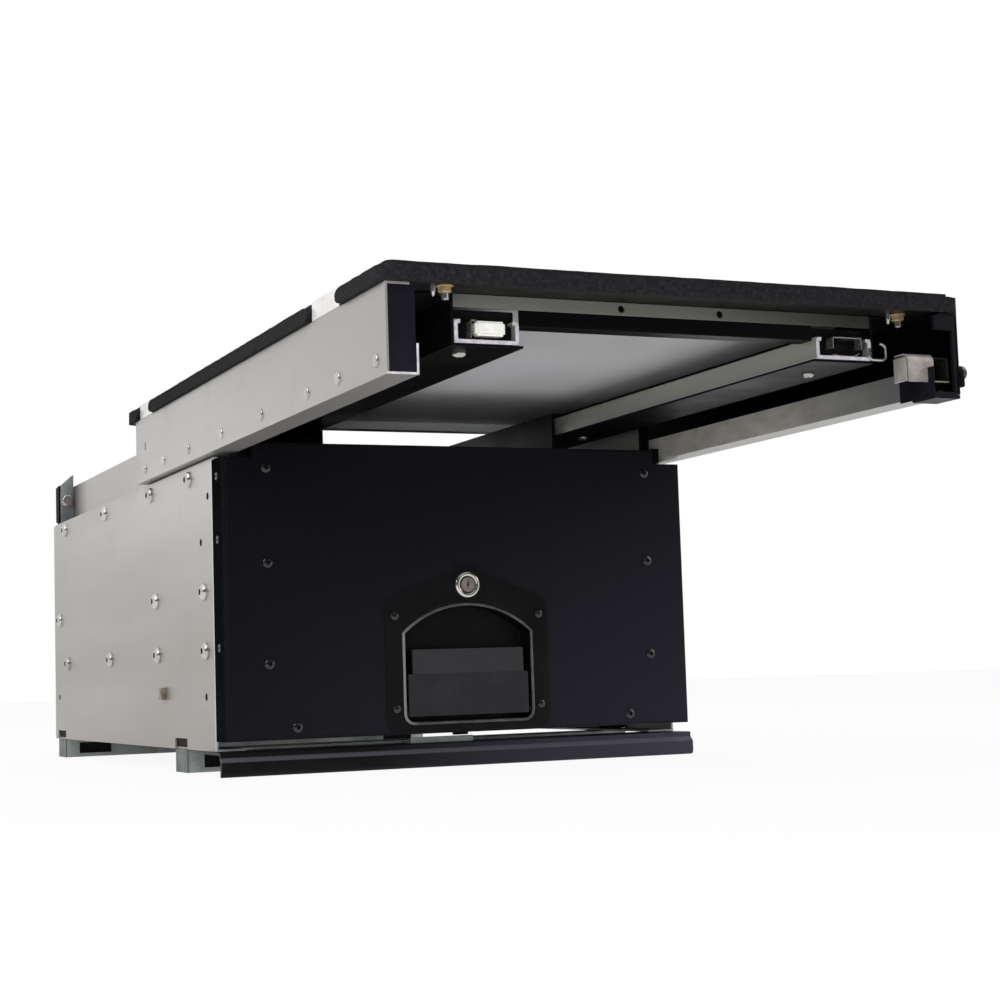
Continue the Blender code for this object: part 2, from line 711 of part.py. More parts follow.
def rounded_plan(half, front, rear, radius):
    """A rectangle in plan with rounded corners."""
    outline = arc((half - radius, front + radius), radius, -90, 0, 4)
    outline += arc((half - radius, rear - radius), radius, 0, 90, 4)
    outline += arc((-half + radius, rear - radius), radius, 90, 180, 4)
    outline += arc((-half + radius, front + radius), radius, 180, 270, 4)
    return outline


def deck_board(finish, carrier):
    """The wooden board on the channels and beams."""
    mesh = bmesh.new()
    half = DECK_HALF - SEAT_GAP
    rear = DECK_REAR + CARPET_REAR_OVERHANG - CARPET_THICKNESS
    outline = rounded_plan(half, DECK_FRONT, rear, CARPET_CORNER - CARPET_OVERHANG)
    prism(mesh, "z", outline, BOARD_BOTTOM, BOARD_BOTTOM + BOARD_THICKNESS)
    made = piece("deck_board", mesh, finish, carrier)
    tools = bmesh.new()
    deck_notches(tools, PAN_DEPTH + SEAT_GAP, BOARD_BOTTOM - CUT_OVERRUN, CARPET_TOP)
    combine(made, tools)
    return made


CARPET_EDGE = 0.004


def deck_carpet(finish, carrier):
    """Carpet over the board, wrapped down round its edges."""
    mesh = bmesh.new()
    half = DECK_HALF + CARPET_OVERHANG
    front = DECK_FRONT - CARPET_OVERHANG
    rear = DECK_REAR + CARPET_REAR_OVERHANG
    prism(mesh, "z", rounded_plan(half, front, rear, CARPET_CORNER), BOARD_BOTTOM, CARPET_TOP)
    middle = (BOARD_BOTTOM + CARPET_TOP) / 2
    rim = [edge for edge in mesh.edges if all(vert.co.z > middle for vert in edge.verts)]
    bmesh.ops.bevel(mesh, geom=rim, offset=CARPET_EDGE, segments=2, affect="EDGES")
    made = piece("deck_carpet", mesh, finish, carrier)
    hollow = bmesh.new()
    inner = DECK_HALF
    rear_inner = rear - CARPET_THICKNESS + SEAT_GAP
    outline = rounded_plan(inner, DECK_FRONT - SEAT_GAP, rear_inner, CARPET_CORNER - CARPET_OVERHANG)
    prism(hollow, "z", outline, BOARD_BOTTOM - CUT_OVERRUN, CARPET_TOP - CARPET_THICKNESS)
    combine(made, hollow)
    notches = bmesh.new()
    deck_notches(notches, PAN_DEPTH + SEAT_GAP, BOARD_BOTTOM - CUT_OVERRUN, CARPET_TOP + CUT_OVERRUN)
    combine(made, notches)
    return made


# Lashing pans let into the deck's edges, each with a ring that folds flat
RING_BAR = 0.0025
RING_HINGE_INSET = 0.0125
RING_REACH = 0.020
RING_SPAN = 0.038
RING_CORNER = 0.006
RING_SIDES = 6
SADDLE_WIDTH = 0.012
SADDLE_WALL = 0.002


def lashing_pan(side, end, name, finish, carrier):
    """A bright pan in its notch, with a saddle over the ring's bar welded to its floor."""
    outer = DECK_HALF - SEAT_GAP
    inner = DECK_HALF - PAN_DEPTH
    low, high = notch_span(end, 0)
    mesh = bmesh.new()
    block(mesh, mirrored(side, inner, outer), (low, high), (BOARD_BOTTOM, PAN_TOP))
    made = piece(name, mesh, finish, carrier)
    hollow = bmesh.new()
    across = mirrored(side, inner + PAN_SHEET, outer - PAN_SHEET)
    floor = BOARD_BOTTOM + PAN_SHEET
    block(hollow, across, (low + PAN_SHEET, high - PAN_SHEET), (floor, PAN_TOP + CUT_OVERRUN))
    combine(made, hollow)
    saddle = bmesh.new()
    x, y, z = ring_hinge(side, end)
    half = RING_BAR + SEAT_GAP + SADDLE_WALL
    top = z + half
    foot = floor - PAN_SHEET / 2
    path = [(x + half, foot), (x + half, top), (x - half, top), (x - half, foot)]
    prism(saddle, "y", folded(path, SADDLE_WALL), y - SADDLE_WIDTH / 2, y + SADDLE_WIDTH / 2)
    combine(made, saddle, "UNION")
    return made


def ring_hinge(side, end):
    """The axis point of a ring's bar."""
    x = side * (DECK_HALF - PAN_DEPTH + RING_HINGE_INSET)
    z = BOARD_BOTTOM + PAN_SHEET + SEAT_GAP + RING_BAR
    return (x, DECK_FRONT + PAN_PLACES[end], z)


def lashing_ring(side, end, name, finish, carrier):
    """A closed ring of round bar: one long side is its hinge bar, the loop lies outward."""
    hinge = Vector(ring_hinge(side, end))
    centre = (RING_REACH / 2, 0)
    half_x = RING_REACH / 2 - RING_CORNER
    half_y = RING_SPAN / 2 - RING_CORNER
    path = []
    for n, (sx, sy) in enumerate(((1, -1), (1, 1), (-1, 1), (-1, -1))):
        corner = (centre[0] + sx * half_x, centre[1] + sy * half_y)
        path += arc(corner, RING_CORNER, -90 + 90 * n, 90 * n, 3)
    mesh = bmesh.new()
    rings = []
    for n, (px, py) in enumerate(path):
        before = path[n - 1]
        after = path[(n + 1) % len(path)]
        along = Vector((after[0] - before[0], after[1] - before[1], 0)).normalized()
        out = Vector((along.y, -along.x, 0))
        ring = []
        for turn in range(RING_SIDES):
            angle = 2 * math.pi * (turn + 0.5) / RING_SIDES
            offset = out * math.cos(angle) * RING_BAR + Vector((0, 0, math.sin(angle) * RING_BAR))
            point = Vector((px, py, 0)) + offset
            ring.append(mesh.verts.new(hinge + Vector((side * point.x, point.y, point.z))))
        rings.append(ring)
    for n, ring in enumerate(rings):
        following = rings[(n + 1) % len(rings)]
        for turn in range(RING_SIDES):
            after = (turn + 1) % RING_SIDES
            mesh.faces.new((ring[turn], ring[after], following[after], following[turn]))
    return piece(name, mesh, finish, carrier, hinge, 50)


# Latch on the right of the deck: a folded housing over a sprung thumb bolt
LATCH_BAR_WIDTH = 0.012
LATCH_BAR_THICK = 0.005
LATCH_BAR_Y = DECK_FRONT + 0.0206
LATCH_BAR_Z = DECK_BOTTOM + 0.007
LATCH_TIP_GAP = 0.0005
LATCH_BOX_HEIGHT = 0.021
LATCH_BOX_INNER = 0.044
LATCH_BOX_DEPTH = 0.018
LATCH_BOX_SHEET = 0.0015
KNOB_RADIUS = 0.0065
KNOB_LENGTH = 0.006
KNOB_GAP = 0.0015


def latch_housing(finish, carrier):
    """The bent zinc bracket that guides the thumb bolt."""
    mesh = bmesh.new()
    outer = DECK_HALF - SHEET - SEAT_GAP
    inner = outer - LATCH_BOX_INNER
    low = LATCH_BAR_Z + LATCH_BAR_THICK + SEAT_GAP
    high = low + LATCH_BOX_HEIGHT
    path = [(outer, low), (outer, high), (inner, high), (inner, low)]
    span = (LATCH_BAR_Y - LATCH_BOX_DEPTH / 2, LATCH_BAR_Y + LATCH_BOX_DEPTH / 2)
    prism(mesh, "y", folded(path, LATCH_BOX_SHEET), *span)
    return piece("latch_housing", mesh, finish, carrier)


def latch_bolt(finish, carrier):
    """The flat thumb bolt with its knob outside the deck's right wall."""
    mesh = bmesh.new()
    tip = FENCE_INNER + KEEPER_OUTER + LATCH_TIP_GAP
    knob = DECK_HALF + KNOB_GAP
    bar_y = (LATCH_BAR_Y - LATCH_BAR_WIDTH / 2, LATCH_BAR_Y + LATCH_BAR_WIDTH / 2)
    block(mesh, (tip, knob + KNOB_LENGTH / 2), bar_y, (LATCH_BAR_Z, LATCH_BAR_Z + LATCH_BAR_THICK))
    centre = (LATCH_BAR_Y, LATCH_BAR_Z + LATCH_BAR_THICK / 2)
    made = piece("latch_bolt", mesh, finish, carrier, (tip, LATCH_BAR_Y, centre[1]))
    head = bmesh.new()
    rod(head, "x", centre, knob, knob + KNOB_LENGTH, KNOB_RADIUS, 12)
    combine(made, head, "UNION")
    return made


# Keepers on the rails' front ends, and the stops at their rear ends
KEEPER_INNER = 0.0060
KEEPER_OUTER = 0.0036
KEEPER_FRONT = -0.026
KEEPER_TAIL = 0.018
KEEPER_POST = 0.005
KEEPER_RISE = 0.044
KEEPER_NOTCH_GAP = 0.0015


def deck_keeper(label, finish):
    """A black keeper on a rail's end, notched for the thumb bolt."""
    side = SIDES[label]
    low = SIDE_TOP + SEAT_GAP
    top = LATCH_BAR_Z + LATCH_BAR_THICK
    high = SIDE_TOP + KEEPER_RISE
    bolt = LATCH_BAR_Y + DECK_DRAWN_OUT
    notch_half = LATCH_BAR_WIDTH / 2 + KEEPER_NOTCH_GAP
    notch_floor = LATCH_BAR_Z - KEEPER_NOTCH_GAP
    rear = -SEAT_GAP
    outline = [
        (KEEPER_FRONT, low),
        (rear, low),
        (rear, high),
        (rear - KEEPER_POST, high),
        (rear - KEEPER_POST, top),
        (bolt + notch_half, top),
        (bolt + notch_half, notch_floor),
        (bolt - notch_half, notch_floor),
        (bolt - notch_half, top),
        (KEEPER_FRONT, top),
    ]
    mesh = bmesh.new()
    prism(mesh, "x", outline, *mirrored(side, FENCE_INNER - KEEPER_INNER, FENCE_INNER + KEEPER_OUTER))
    made = piece("deck_keeper_" + label, mesh, finish)
    tail = bmesh.new()
    across = mirrored(side, FENCE_INNER - KEEPER_INNER, FENCE_INNER - SEAT_GAP)
    tail_low = TOP_RAIL_CORNER + SHEET + SEAT_GAP
    block(tail, across, (rear - KEEPER_POST, KEEPER_TAIL), (tail_low, notch_floor))
    combine(made, tail, "UNION")
    return made


STOP_ROOM = 0.0395
STOP_FACE = BOX_LENGTH - STOP_ROOM
STOP_HEAD = 0.0065
STOP_HEAD_HEIGHT = 0.0055
STOP_TAB_WIDTH = 0.017
STOP_TAB_RISE = 0.068
STOP_TAB_CORNER_SHARE = 0.55
STOP_BLOCK_RISE = 0.055
STOP_BOLT_RISE = 0.026


def rear_stop(label, finish):
    """A tab with a cut corner, the bolt that stops the deck's channel, and a buffer block behind."""
    side = SIDES[label]
    near = HALF_WIDTH - TOP_RAIL_INSET + SEAT_GAP
    low, high = mirrored(side, near, near + STOP_TAB_WIDTH)
    inner, outer = (low, high) if side > 0 else (high, low)
    base = TOP_RAIL_CORNER + SHEET + SEAT_GAP
    top = SIDE_TOP + STOP_TAB_RISE
    shoulder = top - STOP_TAB_WIDTH * STOP_TAB_CORNER_SHARE
    tab_front = STOP_FACE + STOP_HEAD_HEIGHT
    tab_rear = tab_front + SHEET
    mesh = bmesh.new()
    outline = [(outer, base), (inner, base), (inner, top), (outer, shoulder)]
    prism(mesh, "y", outline, tab_front, tab_rear)
    made = piece("rear_stop_" + label, mesh, finish)
    bolt = bmesh.new()
    profile = [
        (STOP_FACE, STOP_HEAD),
        (tab_front + SHEET / 2, STOP_HEAD),
        (tab_front + SHEET / 2, NUT_RADIUS),
        (tab_rear + NUT_HEIGHT, NUT_RADIUS),
    ]
    turned(bolt, "y", ((low + high) / 2, SIDE_TOP + STOP_BOLT_RISE), profile, FASTENER_SIDES)
    combine(made, bolt, "UNION")
    buffer = bmesh.new()
    depth = (tab_rear + NUT_HEIGHT - SHEET, BOX_LENGTH - SHEET - SEAT_GAP)
    block(buffer, (low, high), depth, (base, SIDE_TOP + STOP_BLOCK_RISE))
    combine(made, buffer, "UNION")
    return made


# Drawer slides: the same section stood on edge between side panel and drawer
DRAWER_SLIDE_HEIGHT = SIDE_BOTTOM + SLIDE_ROW_HEIGHT
DRAWER_SLIDE_FACE = SIDE_INNER - SEAT_GAP


def on_edge(side, points):
    """Turn (across, depth) points of a slide section to stand against a side panel."""
    return [(side * (DRAWER_SLIDE_FACE - depth), DRAWER_SLIDE_HEIGHT + across) for across, depth in points]


def drawer_slide_outer(label, finish):
    """The fixed member on the side panel."""
    mesh = bmesh.new()
    section = slide_section(SLIDE_WIDTH, 0, SLIDE_THICK, SLIDE_SHEET, SLIDE_LIP)
    prism(mesh, "y", on_edge(SIDES[label], section), 0, SLIDE_LENGTH)
    return piece("drawer_slide_outer_" + label, mesh, finish)


def drawer_slide_middle(label, finish, carrier):
    """The middle member, half as far out as the drawer."""
    side = SIDES[label]
    name = "drawer_slide_middle_" + label
    span = (0, SLIDE_LENGTH)
    return middle_member(name, lambda points: on_edge(side, points), span, (1, 0), finish, carrier)


def drawer_slide_inner(label, finish, carrier):
    """The member on the drawer's side."""
    mesh = bmesh.new()
    section = cap_section(INNER_BOTTOM - SLIDE_BASE, INNER_TOP - SLIDE_BASE, SHEET)
    prism(mesh, "y", on_edge(SIDES[label], section), 0, SLIDE_LENGTH)
    return piece("drawer_slide_inner_" + label, mesh, finish, carrier)


# Drawer: a folded tub behind a deep tray front with stepped top corners
TUB_HALF = DRAWER_SLIDE_FACE - (INNER_TOP - SLIDE_BASE) - SEAT_GAP
TUB_SHEET = 0.0015
TUB_FRONT = 0.002
TUB_REAR_ROOM = 0.030
TUB_REAR = BOX_LENGTH - TUB_REAR_ROOM
TUB_FLOOR_RISE = 0.012
TUB_FLOOR = SIDE_BOTTOM + TUB_FLOOR_RISE
TUB_TOP_DROP = 0.024
TUB_TOP = SIDE_TOP - TUB_TOP_DROP
FRONT_FACE = -0.0365
FRONT_REAR = -0.0005
FRONT_SHEET = 0.0016
FRONT_BOTTOM_RISE = 0.0096
FRONT_BOTTOM = SIDE_BOTTOM + FRONT_BOTTOM_RISE
FRONT_SHOULDER_DROP = 0.0012
FRONT_SHOULDER = SIDE_TOP - FRONT_SHOULDER_DROP
FRONT_RAISE = 0.0146
FRONT_NOTCH = 0.031


def drawer_tub(finish, carrier):
    """The open-topped tub."""
    mesh = bmesh.new()
    block(mesh, (-TUB_HALF, TUB_HALF), (TUB_FRONT, TUB_REAR), (TUB_FLOOR, TUB_TOP))
    made = piece("drawer_tub", mesh, finish, carrier)
    hollow = bmesh.new()
    half = TUB_HALF - TUB_SHEET
    along = (TUB_FRONT + TUB_SHEET, TUB_REAR - TUB_SHEET)
    block(hollow, (-half, half), along, (TUB_FLOOR + TUB_SHEET, TUB_TOP + CUT_OVERRUN))
    combine(made, hollow)
    return made


def front_outline(inset):
    """The drawer front's outline, drawn in by an inset."""
    half = HALF_WIDTH - inset
    raised = HALF_WIDTH - FRONT_NOTCH - inset
    bottom = FRONT_BOTTOM + inset
    shoulder = FRONT_SHOULDER - inset
    top = FRONT_SHOULDER + FRONT_RAISE - inset
    return [
        (-half, bottom),
        (half, bottom),
        (half, shoulder),
        (raised, shoulder),
        (raised, top),
        (-raised, top),
        (-raised, shoulder),
        (-half, shoulder),
    ]


# Recessed paddle handle with its lock, riveted to the drawer front
LOCK_HEIGHT = 0.1816
DISH_HALF = 0.070
DISH_BOTTOM = 0.044
DISH_TOP_DROP = 0.0196
DISH_ARCH = 0.028
DISH_TOP = LOCK_HEIGHT - DISH_TOP_DROP
DISH_SPRING = DISH_TOP - DISH_ARCH
DISH_CORNER = 0.010
DISH_BACK = -0.012
DISH_SHEET = 0.0015
PLATE_HALF = 0.0885
PLATE_BOTTOM = 0.035
PLATE_SHOULDER_DROP = 0.0096
PLATE_SHOULDER = LOCK_HEIGHT - PLATE_SHOULDER_DROP
PLATE_CORNER = 0.012
PLATE_PEAK = 0.0214
PLATE_SHEET = 0.0015
LOCK_BARREL = 0.0075
LOCK_RING = 0.013
LOCK_RING_THICK = 0.0024
LOCK_PROUD = 0.001
LOCK_REAR = -0.0075
CAM_THICK = 0.0025
CAM_LENGTH = 0.028
CAM_HALF = 0.006
PADDLE_LOW_HALF = 0.0655
PADDLE_HIGH_HALF = 0.0605
PADDLE_BOTTOM = 0.0510
PADDLE_STEP = 0.093
PADDLE_TOP = 0.1175
PADDLE_FACE = -0.0375
PADDLE_THICK = 0.003
PADDLE_PIN_HEIGHT = 0.0545
PADDLE_PIN_BACK = 0.0005
PADDLE_BARREL = 0.003
PADDLE_PIN = 0.0018
BRIDGE_STEPS = 6
BOLT_BAR_HALF = 0.008
BOLT_BAR_THICK = 0.0035
BOLT_BAR_TIP = 0.0306
BOLT_BAR_DROP = 0.0416
BOLT_BAR_TOP = LOCK_HEIGHT - BOLT_BAR_DROP
BOLT_SLOT_GAP = 0.0005


def arch(half, bottom, spring, top, corner):
    """An outline with a flat foot, straight sides and an arched head."""
    rise = top - spring
    radius = (half * half + rise * rise) / (2 * rise)
    swing = math.degrees(math.asin(half / radius))
    head = arc((0, top - radius), radius, 90 - swing, 90 + swing, 10)
    left = arc((-half + corner, bottom + corner), corner, 180, 270, 3)
    right = arc((half - corner, bottom + corner), corner, 270, 360, 3)
    return head + left + right


def dish_outline(grow):
    """The dish's outline, grown by an offset."""
    return arch(DISH_HALF + grow, DISH_BOTTOM - grow, DISH_SPRING, DISH_TOP + grow, DISH_CORNER + grow)


def plate_outline():
    """The handle plate: square foot, rounded shoulders, a peak round the lock."""
    shoulder = PLATE_HALF - PLATE_CORNER
    peak = arc((0, LOCK_HEIGHT), PLATE_PEAK, 35, 145, BRIDGE_STEPS)
    left = arc((-shoulder, PLATE_SHOULDER - PLATE_CORNER), PLATE_CORNER, 110, 180, 3)
    foot_left = arc((-shoulder, PLATE_BOTTOM + PLATE_CORNER), PLATE_CORNER, 180, 270, 3)
    foot_right = arc((shoulder, PLATE_BOTTOM + PLATE_CORNER), PLATE_CORNER, 270, 360, 3)
    right = arc((shoulder, PLATE_SHOULDER - PLATE_CORNER), PLATE_CORNER, 0, 70, 3)
    return peak + left + foot_left + foot_right + right


PLATE_BACK = FRONT_FACE - SEAT_GAP
PLATE_FACE = PLATE_BACK - PLATE_SHEET
SCREW_INSET = 0.044
SCREW_SHARES = (0.29, 0.633, 0.958)
FOOT_SCREW_INSET = 0.071
FOOT_SCREW_RISE = 0.021


def bracket_screws(side):
    """Places (x, z) of the screws through the front into one bracket."""
    return [(side * (HALF_WIDTH - SCREW_INSET), SIDE_BOTTOM + SIDE_HEIGHT * share) for share in SCREW_SHARES]


def drawer_front(finish, carrier):
    """The deep tray front, open behind, with cut-outs for handle, lock and bolt."""
    mesh = bmesh.new()
    prism(mesh, "y", front_outline(0), FRONT_FACE, FRONT_REAR)
    made = piece("drawer_front", mesh, finish, carrier)
    hollow = bmesh.new()
    prism(hollow, "y", front_outline(FRONT_SHEET), FRONT_FACE + FRONT_SHEET, FRONT_REAR + CUT_OVERRUN)
    combine(made, hollow)
    tools = bmesh.new()
    through = (FRONT_FACE - CUT_OVERRUN, FRONT_FACE + FRONT_SHEET + CUT_OVERRUN)
    prism(tools, "y", dish_outline(SEAT_GAP), *through)
    rod(tools, "y", (0, LOCK_HEIGHT), *through, LOCK_BARREL + SEAT_GAP, 16)
    for side in SIDES.values():
        foot_screw = (side * (HALF_WIDTH - FOOT_SCREW_INSET), SIDE_BOTTOM + FOOT_SCREW_RISE)
        for centre in (*bracket_screws(side), foot_screw):
            rod(tools, "y", centre, *through, SCREW_HOLE, FASTENER_SIDES)
    bar_y = (bolt_bar_span()[0] - BOLT_SLOT_GAP, bolt_bar_span()[1] + BOLT_SLOT_GAP)
    bar_x = (-BOLT_BAR_HALF - BOLT_SLOT_GAP, BOLT_BAR_HALF + BOLT_SLOT_GAP)
    block(tools, bar_x, bar_y, (FRONT_BOTTOM - CUT_OVERRUN, FRONT_BOTTOM + FRONT_SHEET + CUT_OVERRUN))
    combine(made, tools)
    return made


def bolt_bar_span():
    """Front and rear faces of the drawer's bolt, behind the dish."""
    front = DISH_BACK + SEAT_GAP
    return (front, front + BOLT_BAR_THICK)


BRACKET_SHEET = 0.0015
BRACKET_WIDTH = 0.026
BRACKET_LOW_RISE = 0.036
BRACKET_TOP_DROP = 0.005
BRACKET_EDGE = HALF_WIDTH - FRONT_NOTCH - FRONT_SHEET + SEAT_GAP


def front_bracket(label, finish, carrier):
    """A channel that joins the tray front to the tub."""
    side = SIDES[label]
    mesh = bmesh.new()
    front = FRONT_FACE + FRONT_SHEET + SEAT_GAP
    rear = TUB_FRONT - SEAT_GAP
    path = [
        (side * BRACKET_EDGE, front),
        (side * (BRACKET_EDGE - BRACKET_WIDTH), front),
        (side * (BRACKET_EDGE - BRACKET_WIDTH), rear),
        (side * BRACKET_EDGE, rear),
    ]
    height = (SIDE_BOTTOM + BRACKET_LOW_RISE, SIDE_TOP - BRACKET_TOP_DROP)
    prism(mesh, "z", folded(path, -side * BRACKET_SHEET), *height)
    made = piece("front_bracket_" + label, mesh, finish, carrier)
    tools = bmesh.new()
    span = (front - CUT_OVERRUN, front + BRACKET_SHEET + CUT_OVERRUN)
    for centre in bracket_screws(side):
        rod(tools, "y", centre, *span, SCREW_HOLE, FASTENER_SIDES)
    combine(made, tools)
    return made


def handle_dish(finish, carrier):
    """The pressed handle plate with its dish."""
    mesh = bmesh.new()
    prism(mesh, "y", plate_outline(), PLATE_FACE, PLATE_BACK)
    made = piece("handle_dish", mesh, finish, carrier)
    shell = bmesh.new()
    prism(shell, "y", dish_outline(0), PLATE_BACK - PLATE_SHEET / 2, DISH_BACK)
    combine(made, shell, "UNION")
    hollow = bmesh.new()
    prism(hollow, "y", dish_outline(-DISH_SHEET), PLATE_FACE - CUT_OVERRUN, DISH_BACK - DISH_SHEET)
    combine(made, hollow)
    tools = bmesh.new()
    rod(tools, "x", paddle_pin(), -DISH_HALF - CUT_OVERRUN, DISH_HALF + CUT_OVERRUN, PADDLE_PIN + SEAT_GAP)
    through = (PLATE_FACE - CUT_OVERRUN, PLATE_BACK + CUT_OVERRUN)
    rod(tools, "y", (0, LOCK_HEIGHT), *through, LOCK_BARREL + SEAT_GAP, 16)
    combine(made, tools)
    return made


def paddle_pin():
    """The paddle's hinge axis, as (y, z)."""
    return (PADDLE_FACE + PADDLE_THICK + PADDLE_PIN_BACK, PADDLE_PIN_HEIGHT)


def paddle(finish, carrier):
    """The paddle: a stepped plate hinged on a pin along its foot."""
    mesh = bmesh.new()
    outline = [
        (-PADDLE_LOW_HALF, PADDLE_BOTTOM),
        (PADDLE_LOW_HALF, PADDLE_BOTTOM),
        (PADDLE_LOW_HALF, PADDLE_STEP),
        (PADDLE_HIGH_HALF, PADDLE_STEP),
        (PADDLE_HIGH_HALF, PADDLE_TOP),
        (-PADDLE_HIGH_HALF, PADDLE_TOP),
        (-PADDLE_HIGH_HALF, PADDLE_STEP),
        (-PADDLE_LOW_HALF, PADDLE_STEP),
    ]
    prism(mesh, "y", outline, PADDLE_FACE, PADDLE_FACE + PADDLE_THICK)
    made = piece("paddle", mesh, finish, carrier, (0, *paddle_pin()))
    pin = bmesh.new()
    profile = [
        (-DISH_HALF, PADDLE_PIN),
        (-PADDLE_HIGH_HALF, PADDLE_PIN),
        (-PADDLE_HIGH_HALF, PADDLE_BARREL),
        (PADDLE_HIGH_HALF, PADDLE_BARREL),
        (PADDLE_HIGH_HALF, PADDLE_PIN),
        (DISH_HALF, PADDLE_PIN),
    ]
    turned(pin, "x", paddle_pin(), profile, 10)
    combine(made, pin, "UNION")
    return made


def drawer_bolt(finish, carrier):
    """The flat bolt that the paddle lifts."""
    mesh = bmesh.new()
    block(mesh, (-BOLT_BAR_HALF, BOLT_BAR_HALF), bolt_bar_span(), (BOLT_BAR_TIP, BOLT_BAR_TOP))
    return piece("drawer_bolt", mesh, finish, carrier, (0, bolt_bar_span()[0], BOLT_BAR_TIP))


def lock_ring(finish, carrier):
    """The chrome ring round the lock."""
    mesh = bmesh.new()
    rear = PLATE_FACE - SEAT_GAP
    rod(mesh, "y", (0, LOCK_HEIGHT), rear - LOCK_RING_THICK, rear, LOCK_RING, 20)
    made = piece("lock_ring", mesh, finish, carrier, smooth_degrees=40)
    bore = bmesh.new()
    span = (rear - LOCK_RING_THICK - CUT_OVERRUN, rear + CUT_OVERRUN)
    rod(bore, "y", (0, LOCK_HEIGHT), *span, LOCK_BARREL + SEAT_GAP, 16)
    combine(made, bore)
    return made


def lock_cylinder(finish, carrier):
    """The lock's barrel with its cam, behind the dish's head."""
    mesh = bmesh.new()
    face = PLATE_FACE - SEAT_GAP - LOCK_RING_THICK - LOCK_PROUD
    rod(mesh, "y", (0, LOCK_HEIGHT), face, LOCK_REAR, LOCK_BARREL, 16)
    made = piece("lock_cylinder", mesh, finish, carrier, (0, LOCK_REAR, LOCK_HEIGHT))
    cam = bmesh.new()
    span_y = (LOCK_REAR - CAM_THICK, LOCK_REAR + CAM_THICK)
    block(cam, (-CAM_HALF, CAM_HALF), span_y, (LOCK_HEIGHT - CAM_LENGTH, LOCK_HEIGHT + CAM_HALF))
    combine(made, cam, "UNION")
    return made


KEEPER_PLATE_SHEET = 0.0015
KEEPER_PLATE_X = (-0.056, 0.012)
KEEPER_PLATE_REAR = 0.015
KEEPER_PLATE_GAP = 0.0013
KEEPER_PLATE_TOP = BOLT_BAR_TIP - 2 * SEAT_GAP


def drawer_keeper(finish):
    """The zinc keeper on the sill, its lip in front of the drawer's bolt."""
    mesh = bmesh.new()
    front = bolt_bar_span()[0] - KEEPER_PLATE_GAP - KEEPER_PLATE_SHEET
    base = SIDE_BOTTOM
    path = [(KEEPER_PLATE_REAR, base), (front, base), (front, KEEPER_PLATE_TOP)]
    prism(mesh, "x", folded(path, -KEEPER_PLATE_SHEET), *KEEPER_PLATE_X)
    return piece("drawer_keeper", mesh, finish)


def build_box():
    """The fixed box: panels, feet, rails and everything bolted to them."""
    panel = material("satin_zinc_panel", (0.53, 0.52, 0.50), 0.38, 0.85)
    galvanised = material("galvanised_steel", (0.50, 0.53, 0.52), 0.42, 0.9)
    black = material("black_powder_coat", (0.012, 0.012, 0.014), 0.42, 0.0)
    steel = material("slide_steel", (0.45, 0.46, 0.43), 0.33, 0.9)
    zinc = material("bright_zinc", (0.72, 0.72, 0.70), 0.25, 1.0)
    for label in SIDES:
        side_panel(label, panel)
        top_rail(label, galvanised)
        hanger_rail(label, black)
        deck_slide_inner(label, steel)
        drawer_slide_outer(label, steel)
        deck_keeper(label, black)
        rear_stop(label, zinc)
    rear_panel(panel)
    for label, place in zip(("front", "rear"), FOOT_PLACES):
        foot_channel(label, place, galvanised)
        top_tie(label, black)
    front_sill(black)
    drawer_keeper(zinc)


def build_deck():
    """The sliding deck, its latch and its lashing rings."""
    silver = material("satin_zinc_channel", (0.54, 0.54, 0.53), 0.36, 0.85)
    black = material("black_beam_coat", (0.014, 0.013, 0.018), 0.40, 0.0)
    steel = material("deck_slide_steel", (0.45, 0.46, 0.43), 0.33, 0.9)
    moulded = material("black_moulding", (0.022, 0.020, 0.032), 0.45, 0.0)
    zinc = material("deck_bright_zinc", (0.72, 0.72, 0.70), 0.25, 1.0)
    board = material("black_board", (0.010, 0.010, 0.011), 0.70, 0.0)
    carpet = material("charcoal_carpet", (0.026, 0.027, 0.030), 0.95, 0.0)
    sheet = material("bright_underside", (0.42, 0.43, 0.44), 0.18, 0.95)
    plate = material("galvanised_plate", (0.30, 0.32, 0.28), 0.40, 0.9)
    deck = carrier_empty("deck")
    middles = carrier_empty("deck_middles")
    for label, side in SIDES.items():
        deck_channel(label, silver, deck)
        end_cap(label, moulded, deck)
        deck_beam(label, black, deck)
        deck_slide_outer(label, steel, deck)
        deck_slide_middle(label, steel, middles)
        for end in PAN_PLACES:
            lashing_pan(side, end, "lashing_pan_" + end + "_" + label, zinc, deck)
            lashing_ring(side, end, "lashing_ring_" + end + "_" + label, zinc, deck)
    deck_cross_front(black, deck)
    deck_front_plate(plate, deck)
    deck_underside(sheet, deck)
    deck_board(board, deck)
    deck_carpet(carpet, deck)
    latch_housing(zinc, deck)
    latch_bolt(black, deck)


def build_drawer():
    """The drawer with its front, handle, lock and bolt."""
    black = material("black_front", (0.010, 0.010, 0.011), 0.36, 0.0)
    pressed = material("black_pressing", (0.016, 0.016, 0.018), 0.33, 0.0)
    tub = material("black_tub", (0.012, 0.012, 0.013), 0.45, 0.0)
    steel = material("drawer_slide_steel", (0.45, 0.46, 0.43), 0.33, 0.9)
    chrome = material("lock_chrome", (0.75, 0.74, 0.72), 0.12, 1.0)
    drawer = carrier_empty("drawer")
    middles = carrier_empty("drawer_middles")
    drawer_front(black, drawer)
    drawer_tub(tub, drawer)
    for label in SIDES:
        front_bracket(label, black, drawer)
        drawer_slide_inner(label, steel, drawer)
        drawer_slide_middle(label, steel, middles)
    handle_dish(pressed, drawer)
    paddle(pressed, drawer)
    drawer_bolt(black, drawer)
    lock_ring(chrome, drawer)
    lock_cylinder(chrome, drawer)


clear_scene()
build_box()
build_deck()
build_drawer()
